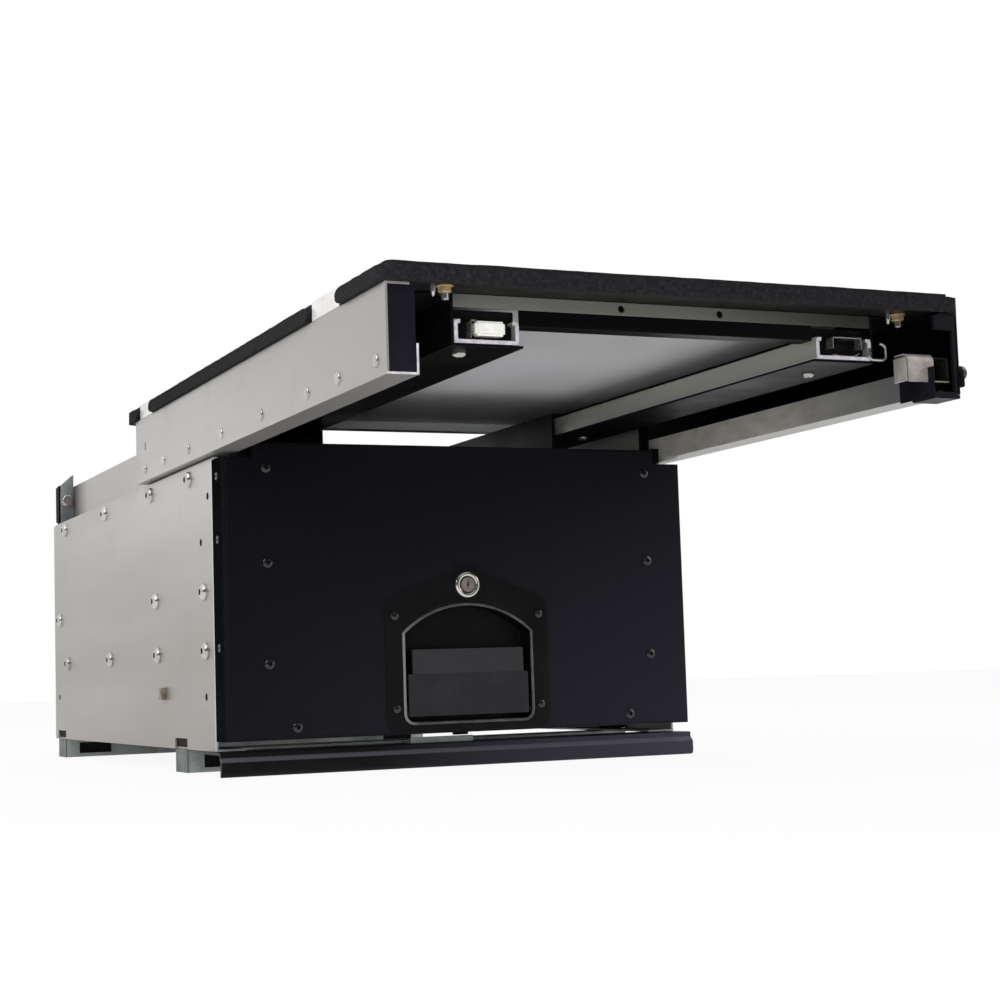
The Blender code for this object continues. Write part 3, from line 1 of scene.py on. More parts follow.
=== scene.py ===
import math
import bmesh
import bpy
from mathutils import Matrix, Vector, noise


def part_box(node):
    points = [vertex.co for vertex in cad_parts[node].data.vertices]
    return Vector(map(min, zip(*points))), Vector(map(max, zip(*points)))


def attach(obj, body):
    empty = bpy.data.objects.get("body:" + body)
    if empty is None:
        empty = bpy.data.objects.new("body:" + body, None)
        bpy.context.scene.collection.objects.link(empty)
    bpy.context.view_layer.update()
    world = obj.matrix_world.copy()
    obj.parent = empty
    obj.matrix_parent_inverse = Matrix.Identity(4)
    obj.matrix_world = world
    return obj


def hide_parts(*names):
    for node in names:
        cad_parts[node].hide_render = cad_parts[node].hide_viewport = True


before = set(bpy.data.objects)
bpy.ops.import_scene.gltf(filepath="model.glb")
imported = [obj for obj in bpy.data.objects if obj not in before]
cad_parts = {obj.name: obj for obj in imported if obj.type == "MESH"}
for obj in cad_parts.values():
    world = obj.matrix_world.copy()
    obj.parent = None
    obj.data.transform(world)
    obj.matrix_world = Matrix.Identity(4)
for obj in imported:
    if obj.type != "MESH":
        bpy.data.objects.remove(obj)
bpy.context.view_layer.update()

# Side panels and rear panel
# Two millimetre steel sheet with a satin zinc face, laser cut, folded in along the foot and bolted to
# the foot channels. Painted shade darkens it towards the foot, a painted highlight lightens the front
# fold, and painted shade darkens the rails' tails beside the rubber stops.
ZINC_SWATCHES = ("a9a6a2", "b5b3b0", "c1bfbc")
SCRATCH_SWATCH = "cfcdc9"
HANDLED_AND_SHADE_SWATCH = "989490"
FOOT_SHADE_SWATCH = "8c857f"
FOLD_HIGHLIGHT_SWATCH = "dde3ea"
TAIL_SHADE_SWATCH = "3c3b39"
FOOT_SHADE_BAND = ("Z", (0.30, 0.02), 0.75)
FOLD_HIGHLIGHT_BAND = ("Y", (0.0035, 0.0015), 0.6)
TAIL_SHADE_BANDS = (("Y", (0.68, 0.757), 0.75), ("Z", (0.3124, 0.3130)))
ROLLED = (1, 0.12, 1)
STREAKED = (1, 0.03, 1)
COLOUR_STOPS = (0.32, 0.68)
SHINE_SHARE = 0.4
SHINE_CLOUD = (0.35, 0.65)
BUMP_STRENGTH = 0.6
EDGE_REACH = 0.0007
EDGE_TURN = (0.985, 0.88)
EDGE_PATCH = 0.006
EDGE_CLOUD = (0.35, 0.6)
EDGE_LEAST = 0.3
SHARP_ANGLE = 35
SAME_PLACE = 0.00001


def swatch(code):
    """A colour as it is seen, turned into the value that a shader mixes."""
    shares = [int(code[n:n + 2], 16) / 255 for n in (0, 2, 4)]
    return (*[s / 12.92 if s <= 0.04045 else ((s + 0.055) / 1.055) ** 2.4 for s in shares], 1)


def cloud(made, size, detail, roll=(1, 1, 1), shift=0.0):
    """Cloudy values of a size in metres, drawn out along the rolling direction."""
    nodes, links = made.node_tree.nodes, made.node_tree.links
    place = nodes.new("ShaderNodeTexCoord")
    drawn = nodes.new("ShaderNodeMapping")
    drawn.inputs["Scale"].default_value = roll
    drawn.inputs["Location"].default_value = (shift, shift, shift)
    links.new(place.outputs["Object"], drawn.inputs["Vector"])
    clouds = nodes.new("ShaderNodeTexNoise")
    clouds.inputs["Scale"].default_value = 1 / size
    clouds.inputs["Detail"].default_value = detail
    links.new(drawn.outputs["Vector"], clouds.inputs["Vector"])
    return clouds.outputs["Fac"]


def spread(made, value, low, high, to_low, to_high):
    """Stretch some values over a range."""
    ranged = made.node_tree.nodes.new("ShaderNodeMapRange")
    for socket, number in zip(("From Min", "From Max", "To Min", "To Max"), (low, high, to_low, to_high)):
        ranged.inputs[socket].default_value = number
    made.node_tree.links.new(value, ranged.inputs["Value"])
    return ranged.outputs["Result"]


def both(made, one, two, way="MULTIPLY"):
    """Join two shares: their product, or the larger one where the way is MAXIMUM."""
    joined = made.node_tree.nodes.new("ShaderNodeMath")
    joined.operation = way
    made.node_tree.links.new(one, joined.inputs[0])
    made.node_tree.links.new(two, joined.inputs[1])
    return joined.outputs[0]


def ramp(made, axis, ends, amount=1, least=0):
    """A share that changes between two places on an axis; |X| is alike on both sides of the middle."""
    nodes, links = made.node_tree.nodes, made.node_tree.links
    place = nodes.new("ShaderNodeTexCoord")
    split = nodes.new("ShaderNodeSeparateXYZ")
    links.new(place.outputs["Object"], split.inputs["Vector"])
    value = split.outputs[axis.strip("|")]
    if "|" in axis:
        distance = nodes.new("ShaderNodeMath")
        distance.operation = "ABSOLUTE"
        links.new(value, distance.inputs[0])
        value = distance.outputs[0]
    return spread(made, value, *ends, least, amount)


def over(made, code, share):
    """Lay another colour over a finish, where the share is high."""
    nodes, links = made.node_tree.nodes, made.node_tree.links
    colour = nodes["Principled BSDF"].inputs["Base Color"]
    laid = nodes.new("ShaderNodeMix")
    laid.data_type = "RGBA"
    links.new(share, laid.inputs["Factor"])
    links.new(colour.links[0].from_socket, laid.inputs["A"])
    laid.inputs["B"].default_value = swatch(code)
    links.new(laid.outputs["Result"], colour)
    return made


def tint(made, code, *bands):
    """Lay another colour over a finish, where all of some bands meet."""
    share = ramp(made, *bands[0])
    for band in bands[1:]:
        share = both(made, share, ramp(made, *band))
    return over(made, code, share)


def surface(name, codes, patch, shine, grain, relief=0.00002, metal=0.0, gloss=0.5, roll=(1, 1, 1)):
    """A finish: colours drift over patches, shine varies, and the face has a fine grain."""
    made = bpy.data.materials.new(name)
    made.use_nodes = True
    nodes, links = made.node_tree.nodes, made.node_tree.links
    shader = nodes["Principled BSDF"]
    shader.inputs["Metallic"].default_value = metal
    shader.inputs["Specular IOR Level"].default_value = gloss
    colours = nodes.new("ShaderNodeValToRGB")
    stops = colours.color_ramp.elements
    first, last = COLOUR_STOPS
    stops[0].position, stops[1].position = first, last
    stops[0].color, stops[1].color = swatch(codes[0]), swatch(codes[-1])
    for n, code in enumerate(codes[1:-1], 1):
        stops.new(first + (last - first) * n / (len(codes) - 1)).color = swatch(code)
    links.new(cloud(made, patch, 5, roll), colours.inputs["Fac"])
    links.new(colours.outputs["Color"], shader.inputs["Base Color"])
    dull = spread(made, cloud(made, patch * SHINE_SHARE, 4, roll, shift=3.7), *SHINE_CLOUD, *shine)
    links.new(dull, shader.inputs["Roughness"])
    bump = nodes.new("ShaderNodeBump")
    bump.inputs["Strength"].default_value = BUMP_STRENGTH
    bump.inputs["Distance"].default_value = relief
    links.new(cloud(made, grain, 3, roll), bump.inputs["Height"])
    links.new(bump.outputs["Normal"], shader.inputs["Normal"])
    return made


def wear(made, code, size, start, full, amount, roll=(1, 1, 1), shift=1.3):
    """Let another colour through in streaks or spots, where a cloud is thickest."""
    return over(made, code, spread(made, cloud(made, size, 6, roll, shift), start, full, 0, amount))


def edge_highlight_and_wear(made, code, amount):
    """Let another colour through in a thin line along the edges: a painted highlight, broken by patches of
    wear.
    """
    nodes, links = made.node_tree.nodes, made.node_tree.links
    softened = nodes.new("ShaderNodeBevel")
    softened.samples = 3
    softened.inputs["Radius"].default_value = EDGE_REACH
    shape = nodes.new("ShaderNodeNewGeometry")
    turn = nodes.new("ShaderNodeVectorMath")
    turn.operation = "DOT_PRODUCT"
    links.new(softened.outputs["Normal"], turn.inputs[0])
    links.new(shape.outputs["Normal"], turn.inputs[1])
    edge = spread(made, turn.outputs["Value"], *EDGE_TURN, 0, amount)
    rubbed = spread(made, cloud(made, EDGE_PATCH, 4), *EDGE_CLOUD, EDGE_LEAST, 1)
    return over(made, code, both(made, edge, rubbed))


def ease_edges(part, ease, steps=2):
    """Round the sharp edges of a part a little."""
    weld = part.modifiers.new("welded corners", "WELD")
    weld.merge_threshold = SAME_PLACE
    eased = part.modifiers.new("eased edges", "BEVEL")
    eased.width = ease
    eased.segments = steps
    eased.angle_limit = math.radians(SHARP_ANGLE)
    part.modifiers.new("flat faces", "WEIGHTED_NORMAL")


def dress(names, made, ease, steps=2):
    """Give CAD parts a finish and ease their edges."""
    for name in names:
        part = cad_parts[name]
        part.data.materials.clear()
        part.data.materials.append(made)
        ease_edges(part, ease, steps)


satin_zinc = surface("satin_zinc", ZINC_SWATCHES, patch=0.22, shine=(0.36, 0.47),
                     grain=0.0022, relief=0.00005, metal=0.5, roll=ROLLED)
wear(satin_zinc, HANDLED_AND_SHADE_SWATCH, size=0.06, start=0.58, full=0.75, amount=0.3)
wear(satin_zinc, SCRATCH_SWATCH, size=0.004, start=0.68, full=0.74, amount=0.3, roll=STREAKED, shift=5.1)
# Painted shade: darker towards the foot.
tint(satin_zinc, FOOT_SHADE_SWATCH, FOOT_SHADE_BAND)
# Painted highlight along the front fold.
tint(satin_zinc, FOLD_HIGHLIGHT_SWATCH, FOLD_HIGHLIGHT_BAND)
# Painted shade on the rails' tails beside the rubber stops.
tint(satin_zinc, TAIL_SHADE_SWATCH, *TAIL_SHADE_BANDS)
dress(("side_panel_left", "side_panel_right", "rear_panel"), satin_zinc, ease=0.0005)

# Foot channels and front sill
# The feet are dull galvanised channels bolted up through the panels' folds, with painted shade on their ends;
# black blocks stand for the shade in the panels' notches and the feet's slots; the sill is a black strip
# rolled at its nose and folded back, with a painted sheen along it and a painted highlight on its shoulder.
GALVANISED_SWATCHES = ("8f9894", "a9b1ac", "c3c9c3")
FOOT_END_SHADE_SWATCH = "4c524f"
FOOT_END_SHADE_BAND = ("|X|", (0.2506, 0.2516), 0.95)
SPANGLE = 0.007
BLACK_SWATCHES = ("070708", "0a0a0b", "0e0e0f")
DUST_SWATCH = "2b2a2e"
EDGE_HIGHLIGHT_SWATCH = "4b4a4e"
SILL_SWATCHES = ("101011", "151516", "19191b")
SILL_SHEEN_SWATCH = "494854"
SHOULDER_HIGHLIGHT_SWATCH = "6a6a72"
RUBBER_SWATCHES = ("0a0a0a", "0f0f0f", "161514")
SILL_HALF = 0.257
SILL_SHEET = 0.0024
SILL_BEND = 0.0014
SILL_PATH = ((-0.0285, 0), (-0.0310, 0), (-0.0340, 0.0030), (-0.0340, 0.0145), (-0.0290, 0.0185),
             (-0.0290, 0.0236), (0.0300, 0.0236))
SILL_END = ((-0.0338, -0.0270), (0.0004, 0.0152))
SILL_SHEEN_BAND = ("X", (-0.10, 0.25), 0.8)
SHOULDER_HIGHLIGHT_BANDS = (("Z", (0.0138, 0.0150), 0.5), ("Z", (0.0190, 0.0178)))
FLAT_ANGLE = 0.5
FOOT_PLACES = (0.1345, 0.7575)
FOOT_HALF = 0.0235
NOTCH_SHADE_ACROSS = (0.2440, 0.2503)
NOTCH_SHADE_HALF = 0.0262
NOTCH_SHADE_TALL = (0.0262, 0.0372)
SLOT_SHADE_ACROSS = (0.1890, 0.2380)
SLOT_SHADE_IN = (0.0022, 0.0060)
SLOT_SHADE_TALL = (0.0032, 0.0205)


def spangle(made, size, strength):
    """The crystals that hot zinc leaves on sheet."""
    nodes, links = made.node_tree.nodes, made.node_tree.links
    colour = nodes["Principled BSDF"].inputs["Base Color"]
    place = nodes.new("ShaderNodeTexCoord")
    crystals = nodes.new("ShaderNodeTexVoronoi")
    crystals.inputs["Scale"].default_value = 1 / size
    links.new(place.outputs["Object"], crystals.inputs["Vector"])
    grey = nodes.new("ShaderNodeRGBToBW")
    links.new(crystals.outputs["Color"], grey.inputs["Color"])
    mixed = nodes.new("ShaderNodeMix")
    mixed.data_type = "RGBA"
    mixed.blend_type = "MULTIPLY"
    mixed.inputs["Factor"].default_value = strength
    links.new(colour.links[0].from_socket, mixed.inputs["A"])
    links.new(grey.outputs["Val"], mixed.inputs["B"])
    links.new(mixed.outputs["Result"], colour)
    return made


def copied(node):
    """A CAD part's form, ready for finer work."""
    mesh = bmesh.new()
    mesh.from_mesh(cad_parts[node].data)
    bmesh.ops.remove_doubles(mesh, verts=mesh.verts, dist=SAME_PLACE)
    bmesh.ops.dissolve_limit(mesh, angle_limit=math.radians(FLAT_ANGLE), verts=mesh.verts, edges=mesh.edges)
    return mesh


def roll_edges(mesh, chosen, radius, steps=4):
    """Round the edges of a form that a test picks out; made afresh, its faces keep one order in each run."""
    edges = [edge for edge in mesh.edges if chosen(*(vert.co for vert in edge.verts))]
    bmesh.ops.bevel(mesh, geom=edges, offset=radius, segments=steps, affect="EDGES", clamp_overlap=True)
    rolled = bpy.data.meshes.new("rolled")
    mesh.to_mesh(rolled)
    mesh.clear()
    mesh.from_mesh(rolled)
    bpy.data.meshes.remove(rolled)


def placed(name, data):
    """Put an object into the scene."""
    thing = bpy.data.objects.new(name, data)
    bpy.context.scene.collection.objects.link(thing)
    return thing


def fix(name, mesh, made, body, smooth=32, inside=None):
    """Finish a piece: face its mesh outward, give it its material and let it ride."""
    bmesh.ops.recalc_face_normals(mesh, faces=mesh.faces)
    data = bpy.data.meshes.new(name)
    mesh.to_mesh(data)
    mesh.free()
    data.materials.append(made)
    if inside:
        data.materials.append(inside)
    data.shade_smooth()
    data.set_sharp_from_angle(angle=math.radians(smooth))
    piece = placed(name, data)
    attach(piece, body)
    return piece


def slab(mesh, across, deep, tall, ease, steps=2):
    """Add a block with rounded edges that fills three spans."""
    spans = [sorted(span) for span in (across, deep, tall)]
    corners = bmesh.ops.create_cube(mesh, size=1)["verts"]
    for vert in corners:
        vert.co = Vector([(a + b) / 2 + (b - a) * share for (a, b), share in zip(spans, vert.co)])
    edges = list({edge for vert in corners for edge in vert.link_edges})
    bmesh.ops.bevel(mesh, geom=edges, offset=ease, segments=steps, affect="EDGES", clamp_overlap=True)


def rounded(path, radius, steps=4):
    """A path with its corners rounded."""
    path = [Vector(point) for point in path]
    points = [path[0]]
    for before, corner, after in zip(path, path[1:], path[2:]):
        start = corner + (before - corner).normalized() * radius
        end = corner + (after - corner).normalized() * radius
        for n in range(steps + 1):
            share = n / steps
            points.append(start.lerp(corner, share).lerp(corner.lerp(end, share), share))
    return points + [path[-1]]


def bent(mesh, axes, path, thick, span):
    """Bend a strip: a sheet that follows a path in two axes and spans the third."""
    path = [Vector(point) for point in path]
    walls = [(after - before).normalized() for before, after in zip(path, path[1:])]
    third = ({"x", "y", "z"} - set(axes)).pop()
    rows = []
    for n, point in enumerate(path):
        one, two = walls[max(n - 1, 0)], walls[min(n, len(walls) - 1)]
        out = Vector((-one.y - two.y, one.x + two.x)).normalized()
        far = point + out * (thick / out.dot(Vector((-one.y, one.x))))
        row = []
        for corner, level in ((point, span[0]), (far, span[0]), (far, span[1]), (point, span[1])):
            where = dict(zip(axes, corner))
            where[third] = level
            row.append(mesh.verts.new((where["x"], where["y"], where["z"])))
        rows.append(row)
    for low, high in zip(rows, rows[1:]):
        for n in range(4):
            mesh.faces.new((low[n], low[(n + 1) % 4], high[(n + 1) % 4], high[n]))
    mesh.faces.new(list(reversed(rows[0])))
    mesh.faces.new(rows[-1])


galvanised = surface("galvanised", GALVANISED_SWATCHES, patch=0.05, shine=(0.38, 0.55),
                     grain=0.003, relief=0.00008, metal=0.3)
spangle(galvanised, SPANGLE, 0.2)
# Painted shade darkens the feet's ends.
tint(galvanised, FOOT_END_SHADE_SWATCH, FOOT_END_SHADE_BAND)
dress(("foot_channel_front", "foot_channel_rear"), galvanised, ease=0.0005)
black_coat = surface("black_coat", BLACK_SWATCHES, patch=0.16, shine=(0.36, 0.48),
                     grain=0.0011, relief=0.00003, gloss=0.06)
wear(black_coat, DUST_SWATCH, size=0.05, start=0.6, full=0.85, amount=0.08)
# A painted highlight along the edges, broken by patches of wear.
edge_highlight_and_wear(black_coat, EDGE_HIGHLIGHT_SWATCH, 0.3)
# Black blocks stand for the shade in the panels' notches and the feet's slots.
shade_blocks = bmesh.new()
for side in (-1, 1):
    for there in FOOT_PLACES:
        notch_shade_deep = (there - NOTCH_SHADE_HALF, there + NOTCH_SHADE_HALF)
        slab(shade_blocks, [side * x for x in NOTCH_SHADE_ACROSS], notch_shade_deep, NOTCH_SHADE_TALL, ease=0.0004)
        slot_shade_deep = [there - FOOT_HALF + off for off in SLOT_SHADE_IN]
        slab(shade_blocks, [side * x for x in SLOT_SHADE_ACROSS], slot_shade_deep, SLOT_SHADE_TALL, ease=0.0006)
rubber = surface("black_rubber", RUBBER_SWATCHES, patch=0.01, shine=(0.6, 0.75),
                 grain=0.0009, relief=0.00008, gloss=0.1)
fix("foot_shade_blocks", shade_blocks, rubber, "box")
sill_coat = surface("sill_coat", SILL_SWATCHES, patch=0.16, shine=(0.36, 0.44),
                    grain=0.0011, relief=0.00003, gloss=0.1)
# Painted sheen: a bluish reflection along the sill.
tint(sill_coat, SILL_SHEEN_SWATCH, SILL_SHEEN_BAND)
# Painted highlight along the sill's shoulder.
tint(sill_coat, SHOULDER_HIGHLIGHT_SWATCH, *SHOULDER_HIGHLIGHT_BANDS)
strip = bmesh.new()
bent(strip, "yz", rounded(SILL_PATH, SILL_BEND), -SILL_SHEET, (-SILL_HALF, SILL_HALF))
for side in (-1, 1):
    slab(strip, (side * SILL_HALF, side * (SILL_HALF - SILL_SHEET)), *SILL_END, ease=0.0018, steps=3)
sill = fix("sill_strip", strip, sill_coat, "box")
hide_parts("front_sill")

# Side bolts and strap links
# Plated button-headed bolts with a hexagon socket hold the top rails, the drawer slides and the ties
# from outside, and black blind plugs close the small holes; a dull passivated strap link is hooked
# through the slot low on each side.
BOLT_HEAD = 0.0084
BOLT_RISE = 0.0060
BOLT_SOCKET = 0.0033
DOME_TURNS = (0, 15, 30, 45, 58, 68)
DOME_RIM = 0.22
SHANK_SHARE = 0.45
HEAD_FOOT = (-0.0016, 0.0001)
SOCKET_MOUTH = 0.95
SOCKET_WALL = 0.45
SOCKET_FLOOR = 0.4
SIDE_FACE = 0.2525
BOLT_ROWS = (
    (0.2985, (0.084, 0.248, 0.478, 0.718)),
    (0.1810, (0.032, 0.229, 0.758)),
    (0.1225, (0.028, 0.223, 0.456, 0.708)),
)
BRIGHT_SWATCHES = ("aaa7a2", "bdbbb6", "d3d1cd")
YELLOW_SWATCHES = ("8f7a50", "a8926a", "bfae8c")
LINK_SWATCHES = ("6b6255", "82786a", "9b9284")
BLIND_PLUG = (0.0037, 0.0006)
BLIND_PLUGS = ((0.016, 0.275), (0.044, 0.231), (0.033, 0.077), (0.771, 0.079))
LINK_MIDDLE = 0.198
LINK_HEIGHTS = (0.0745, 0.0875)
LINK_HALF = 0.0062
LINK_REACH = (0.2508, 0.2590)
LINK_BEND = 0.0022
LINK_STRAP = 0.0016


def stand(point, outward):
    """The place of a fastener whose axis points outward from a surface."""
    return Matrix.Translation(point) @ Vector(outward).to_track_quat("Z", "Y").to_matrix().to_4x4()


def turned(mesh, outline, place, sides=24):
    """Turn an outline about an axis; 1 marks a hexagon in it and 2 the walls of a hexagon socket."""
    rings = []
    for radius, height, hexagon in outline:
        if radius == 0:
            rings.append([mesh.verts.new(place @ Vector((0, 0, height)))])
            continue
        ring = []
        for n in range(sides):
            angle = 2 * math.pi * n / sides
            flat = math.cos((angle % (math.pi / 3)) - math.pi / 6)
            reach = radius / flat if hexagon else radius
            point = Vector((math.cos(angle) * reach, math.sin(angle) * reach, height))
            ring.append(mesh.verts.new(place @ point))
        rings.append(ring)
    for low, high, (_, _, kind) in zip(rings, rings[1:], outline):
        for n in range(sides):
            after = (n + 1) % sides
            corners = (low[n % len(low)], low[after % len(low)], high[after % len(high)], high[n % len(high)])
            corners = list(dict.fromkeys(corners))
            if len(corners) > 2:
                mesh.faces.new(corners).material_index = kind // 2
    if len(rings[0]) > 1:
        mesh.faces.new(list(reversed(rings[0])))


def button(head, rise, socket=0):
    """A dome head's outline, with a hexagon socket where one is given."""
    rim = rise * DOME_RIM
    shank = head * SHANK_SHARE
    sunk, seat = HEAD_FOOT
    outline = [(shank, sunk, 0), (shank, seat, 0), (head, seat, 0)]
    for turn in DOME_TURNS:
        angle = math.radians(turn)
        outline.append((head * math.cos(angle), rim + (rise - rim) * math.sin(angle), 0))
    if socket:
        walls = [(socket, rise * SOCKET_MOUTH, 2), (socket, rise * SOCKET_WALL, 2)]
        return outline + walls + [(0, rise * SOCKET_FLOOR, 0)]
    return outline + [(0, rise, 0)]


bright_zinc = surface("bright_zinc", BRIGHT_SWATCHES, patch=0.03, shine=(0.18, 0.3),
                      grain=0.0012, relief=0.00001, metal=0.9)
yellow_zinc = surface("yellow_zinc", YELLOW_SWATCHES, patch=0.008, shine=(0.3, 0.42), grain=0.0008, metal=0.6)
link_zinc = surface("link_zinc", LINK_SWATCHES, patch=0.006, shine=(0.35, 0.5), grain=0.0008, metal=0.4)
# Painted shade: the insides of the sockets are dark.
socket_shade = surface("socket_shade", RUBBER_SWATCHES, patch=0.004, shine=(0.5, 0.6),
                       grain=0.0006, relief=0.00001, gloss=0.1)
for label, side in (("left", -1), ("right", 1)):
    bolts = bmesh.new()
    for height, places in BOLT_ROWS:
        for there in places:
            place = stand((side * SIDE_FACE, there, height), (side, 0, 0))
            turned(bolts, button(BOLT_HEAD, BOLT_RISE, BOLT_SOCKET), place)
    fix("side_bolts_" + label, bolts, bright_zinc, "box", inside=socket_shade)
    plugs = bmesh.new()
    for there, height in BLIND_PLUGS:
        turned(plugs, button(*BLIND_PLUG), stand((side * SIDE_FACE, there, height), (side, 0, 0)), sides=18)
    fix("blind_plugs_" + label, plugs, rubber, "box")
    link = bmesh.new()
    near, far = (side * reach for reach in LINK_REACH)
    loop = [(near, LINK_MIDDLE - LINK_HALF), (far, LINK_MIDDLE - LINK_HALF),
            (far, LINK_MIDDLE + LINK_HALF), (near, LINK_MIDDLE + LINK_HALF)]
    bent(link, "xy", rounded(loop, LINK_BEND), side * LINK_STRAP, LINK_HEIGHTS)
    strap = fix("strap_link_" + label, link, link_zinc, "box")
    ease_edges(strap, 0.0003)

# Top rails, ties and hanger rails
# Fence rails in the panels' own satin zinc are bolted inside their top edges; black ties and hanger
# rails run between them and carry the deck's slides.
dress(("top_rail_left", "top_rail_right"), satin_zinc, ease=0.0004)
dress(("top_tie_front", "top_tie_rear", "hanger_rail_left", "hanger_rail_right", "deck_keeper_left",
       "deck_keeper_right"), black_coat, ease=0.0004)
dress(("drawer_keeper",), galvanised, ease=0.0004)

# Rear stops
# At each rail's tail a pointed zinc tab carries a plated hexagon bolt, a yellow lock nut behind it and
# a black rubber buffer.
TAB_SWATCHES = ("6f7878", "868f8f", "9ba3a2")
TAB_INNER = 0.2322
TAB_OUTER = 0.2492
TAB_BASE = 0.3126
TAB_TIP = 0.3778
TAB_SHOULDER = 0.3635
TAB_POINT = (0.0012, 0.001)
TAB_FRONT = 0.7660
TAB_REAR = 0.7680
BUFFER_ACROSS = (TAB_INNER + 0.0004, TAB_OUTER + 0.0011)
BUFFER_DEEP = (0.7752, 0.7975)
BUFFER_TALL = (TAB_BASE + 0.0003, 0.3646)
STOP_BOLT_HEIGHT = 0.3425
STOP_HEAD = 0.0070
HEX_HEAD = (
    (0.0040, -0.0010, 0), (0.0040, 0, 0), (0.0082, 0, 0), (0.0082, 0.0010, 0), (STOP_HEAD, 0.0012, 1),
    (STOP_HEAD, 0.0048, 1), (STOP_HEAD * 0.93, 0.0055, 0), (STOP_HEAD * 0.7, 0.0056, 0), (0, 0.0054, 0),
)
LOCK_NUT = (
    (0.0040, -0.0008, 0), (0.0075, -0.0002, 0), (0.0075, 0.0006, 0), (0.0055, 0.0008, 1), (0.0055, 0.0036, 1),
    (0.0046, 0.0044, 0), (0.0046, 0.0050, 0), (0.0033, 0.0052, 0), (0.0030, 0.0068, 0), (0, 0.0070, 0),
)


def plate(mesh, corners, front, rear):
    """Add a flat plate cut to some (x, z) corners."""
    rows = [[mesh.verts.new((x, level, z)) for x, z in corners] for level in (front, rear)]
    mesh.faces.new(rows[0])
    mesh.faces.new(list(reversed(rows[1])))
    for n in range(len(corners)):
        after = (n + 1) % len(corners)
        mesh.faces.new((rows[0][n], rows[1][n], rows[1][after], rows[0][after]))


tab_zinc = surface("tab_zinc", TAB_SWATCHES, patch=0.02, shine=(0.4, 0.5), grain=0.001, metal=0.6)
for label, side in (("left", -1), ("right", 1)):
    node = "rear_stop_" + label
    tab = bmesh.new()
    corners = ((TAB_OUTER, TAB_BASE), (TAB_INNER, TAB_BASE), (TAB_INNER, TAB_TIP - TAB_POINT[1]),
               (TAB_INNER + TAB_POINT[0], TAB_TIP), (TAB_OUTER, TAB_SHOULDER))
    plate(tab, [(side * x, z) for x, z in corners], TAB_FRONT, TAB_REAR)
    tab_piece = fix("stop_tab_" + label, tab, tab_zinc, "box")
    ease_edges(tab_piece, 0.0004)
    middle = side * (TAB_INNER + TAB_OUTER) / 2
    head = bmesh.new()
    turned(head, HEX_HEAD, stand((middle, TAB_FRONT, STOP_BOLT_HEIGHT), (0, -1, 0)))
    head_piece = fix("stop_bolt_" + label, head, bright_zinc, "box")
    nut = bmesh.new()
    turned(nut, LOCK_NUT, stand((middle, TAB_REAR, STOP_BOLT_HEIGHT), (0, 1, 0)))
    nut_piece = fix("stop_nut_" + label, nut, yellow_zinc, "box")
    buffer = bmesh.new()
    slab(buffer, [side * x for x in BUFFER_ACROSS], BUFFER_DEEP, BUFFER_TALL, ease=0.0022, steps=3)
    buffer_piece = fix("stop_buffer_" + label, buffer, rubber, "box")
    for piece in (tab_piece, head_piece, nut_piece, buffer_piece):
        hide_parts(node)

# Slides
# Ball-bearing telescopic slides in cold-rolled steel with a thin yellowish passivation, lightly
# oiled, so dust darkens their tracks; the deck slides' sawn ends shine.
SLIDE_SWATCHES = ("83857b", "96988e", "a9aba0")
OIL_SWATCH = "5f6057"
CUT_SWATCHES = ("b9b3bd", "cdc8d2", "e0dce4")
SLIDE_CENTRE = 0.1647
SLIDE_HALF = 0.0275
SLIDE_FLOOR = 0.3453
SLIDE_LIP_TOP = 0.3640
SLIDE_WALL = 0.0032
SLIDE_FRONT = -0.482
SLIDE_LIP = 0.0052
SLIDE_BEND = 0.0042
SLIDE_SKIN = 0.0001
SAWN_SKIN = (-0.0003, 0.0004)
TRACK_HIGHLIGHT_BANDS = (("Z", (0.3470, 0.3462), 0.8), ("Z", (0.3400, 0.3440)))
slide_steel = surface("slide_steel", SLIDE_SWATCHES, patch=0.09, shine=(0.28, 0.4),
                      grain=0.002, metal=0.35, roll=(1, 0.05, 1))
wear(slide_steel, OIL_SWATCH, size=0.03, start=0.56, full=0.72, amount=0.4, roll=(1, 0.2, 1))
# Painted highlight along the slides' lower bend.
tint(slide_steel, CUT_SWATCHES[0], *TRACK_HIGHLIGHT_BANDS)
dress([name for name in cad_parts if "_slide_" in name], slide_steel, ease=0.0004)
cut_steel = surface("cut_steel", CUT_SWATCHES, patch=0.004, shine=(0.3, 0.45),
                    grain=0.0004, relief=0.00001, metal=0.15)
for label, side in (("left", -1), ("right", 1)):
    end = bmesh.new()
    reach = SLIDE_HALF - SLIDE_SKIN
    lip = SLIDE_LIP_TOP - SLIDE_SKIN
    half = [(reach - SLIDE_LIP, lip), (reach, lip), (reach, SLIDE_FLOOR + SLIDE_SKIN)]
    path = half + [(-across, height) for across, height in reversed(half)]
    path = [(side * SLIDE_CENTRE + across, height) for across, height in path]
    span = [SLIDE_FRONT + off for off in SAWN_SKIN]
    bent(end, "xz", rounded(path, SLIDE_BEND), 2 * SLIDE_SKIN - SLIDE_WALL, span)
    fix("slide_end_" + label, end, cut_steel, "deck")

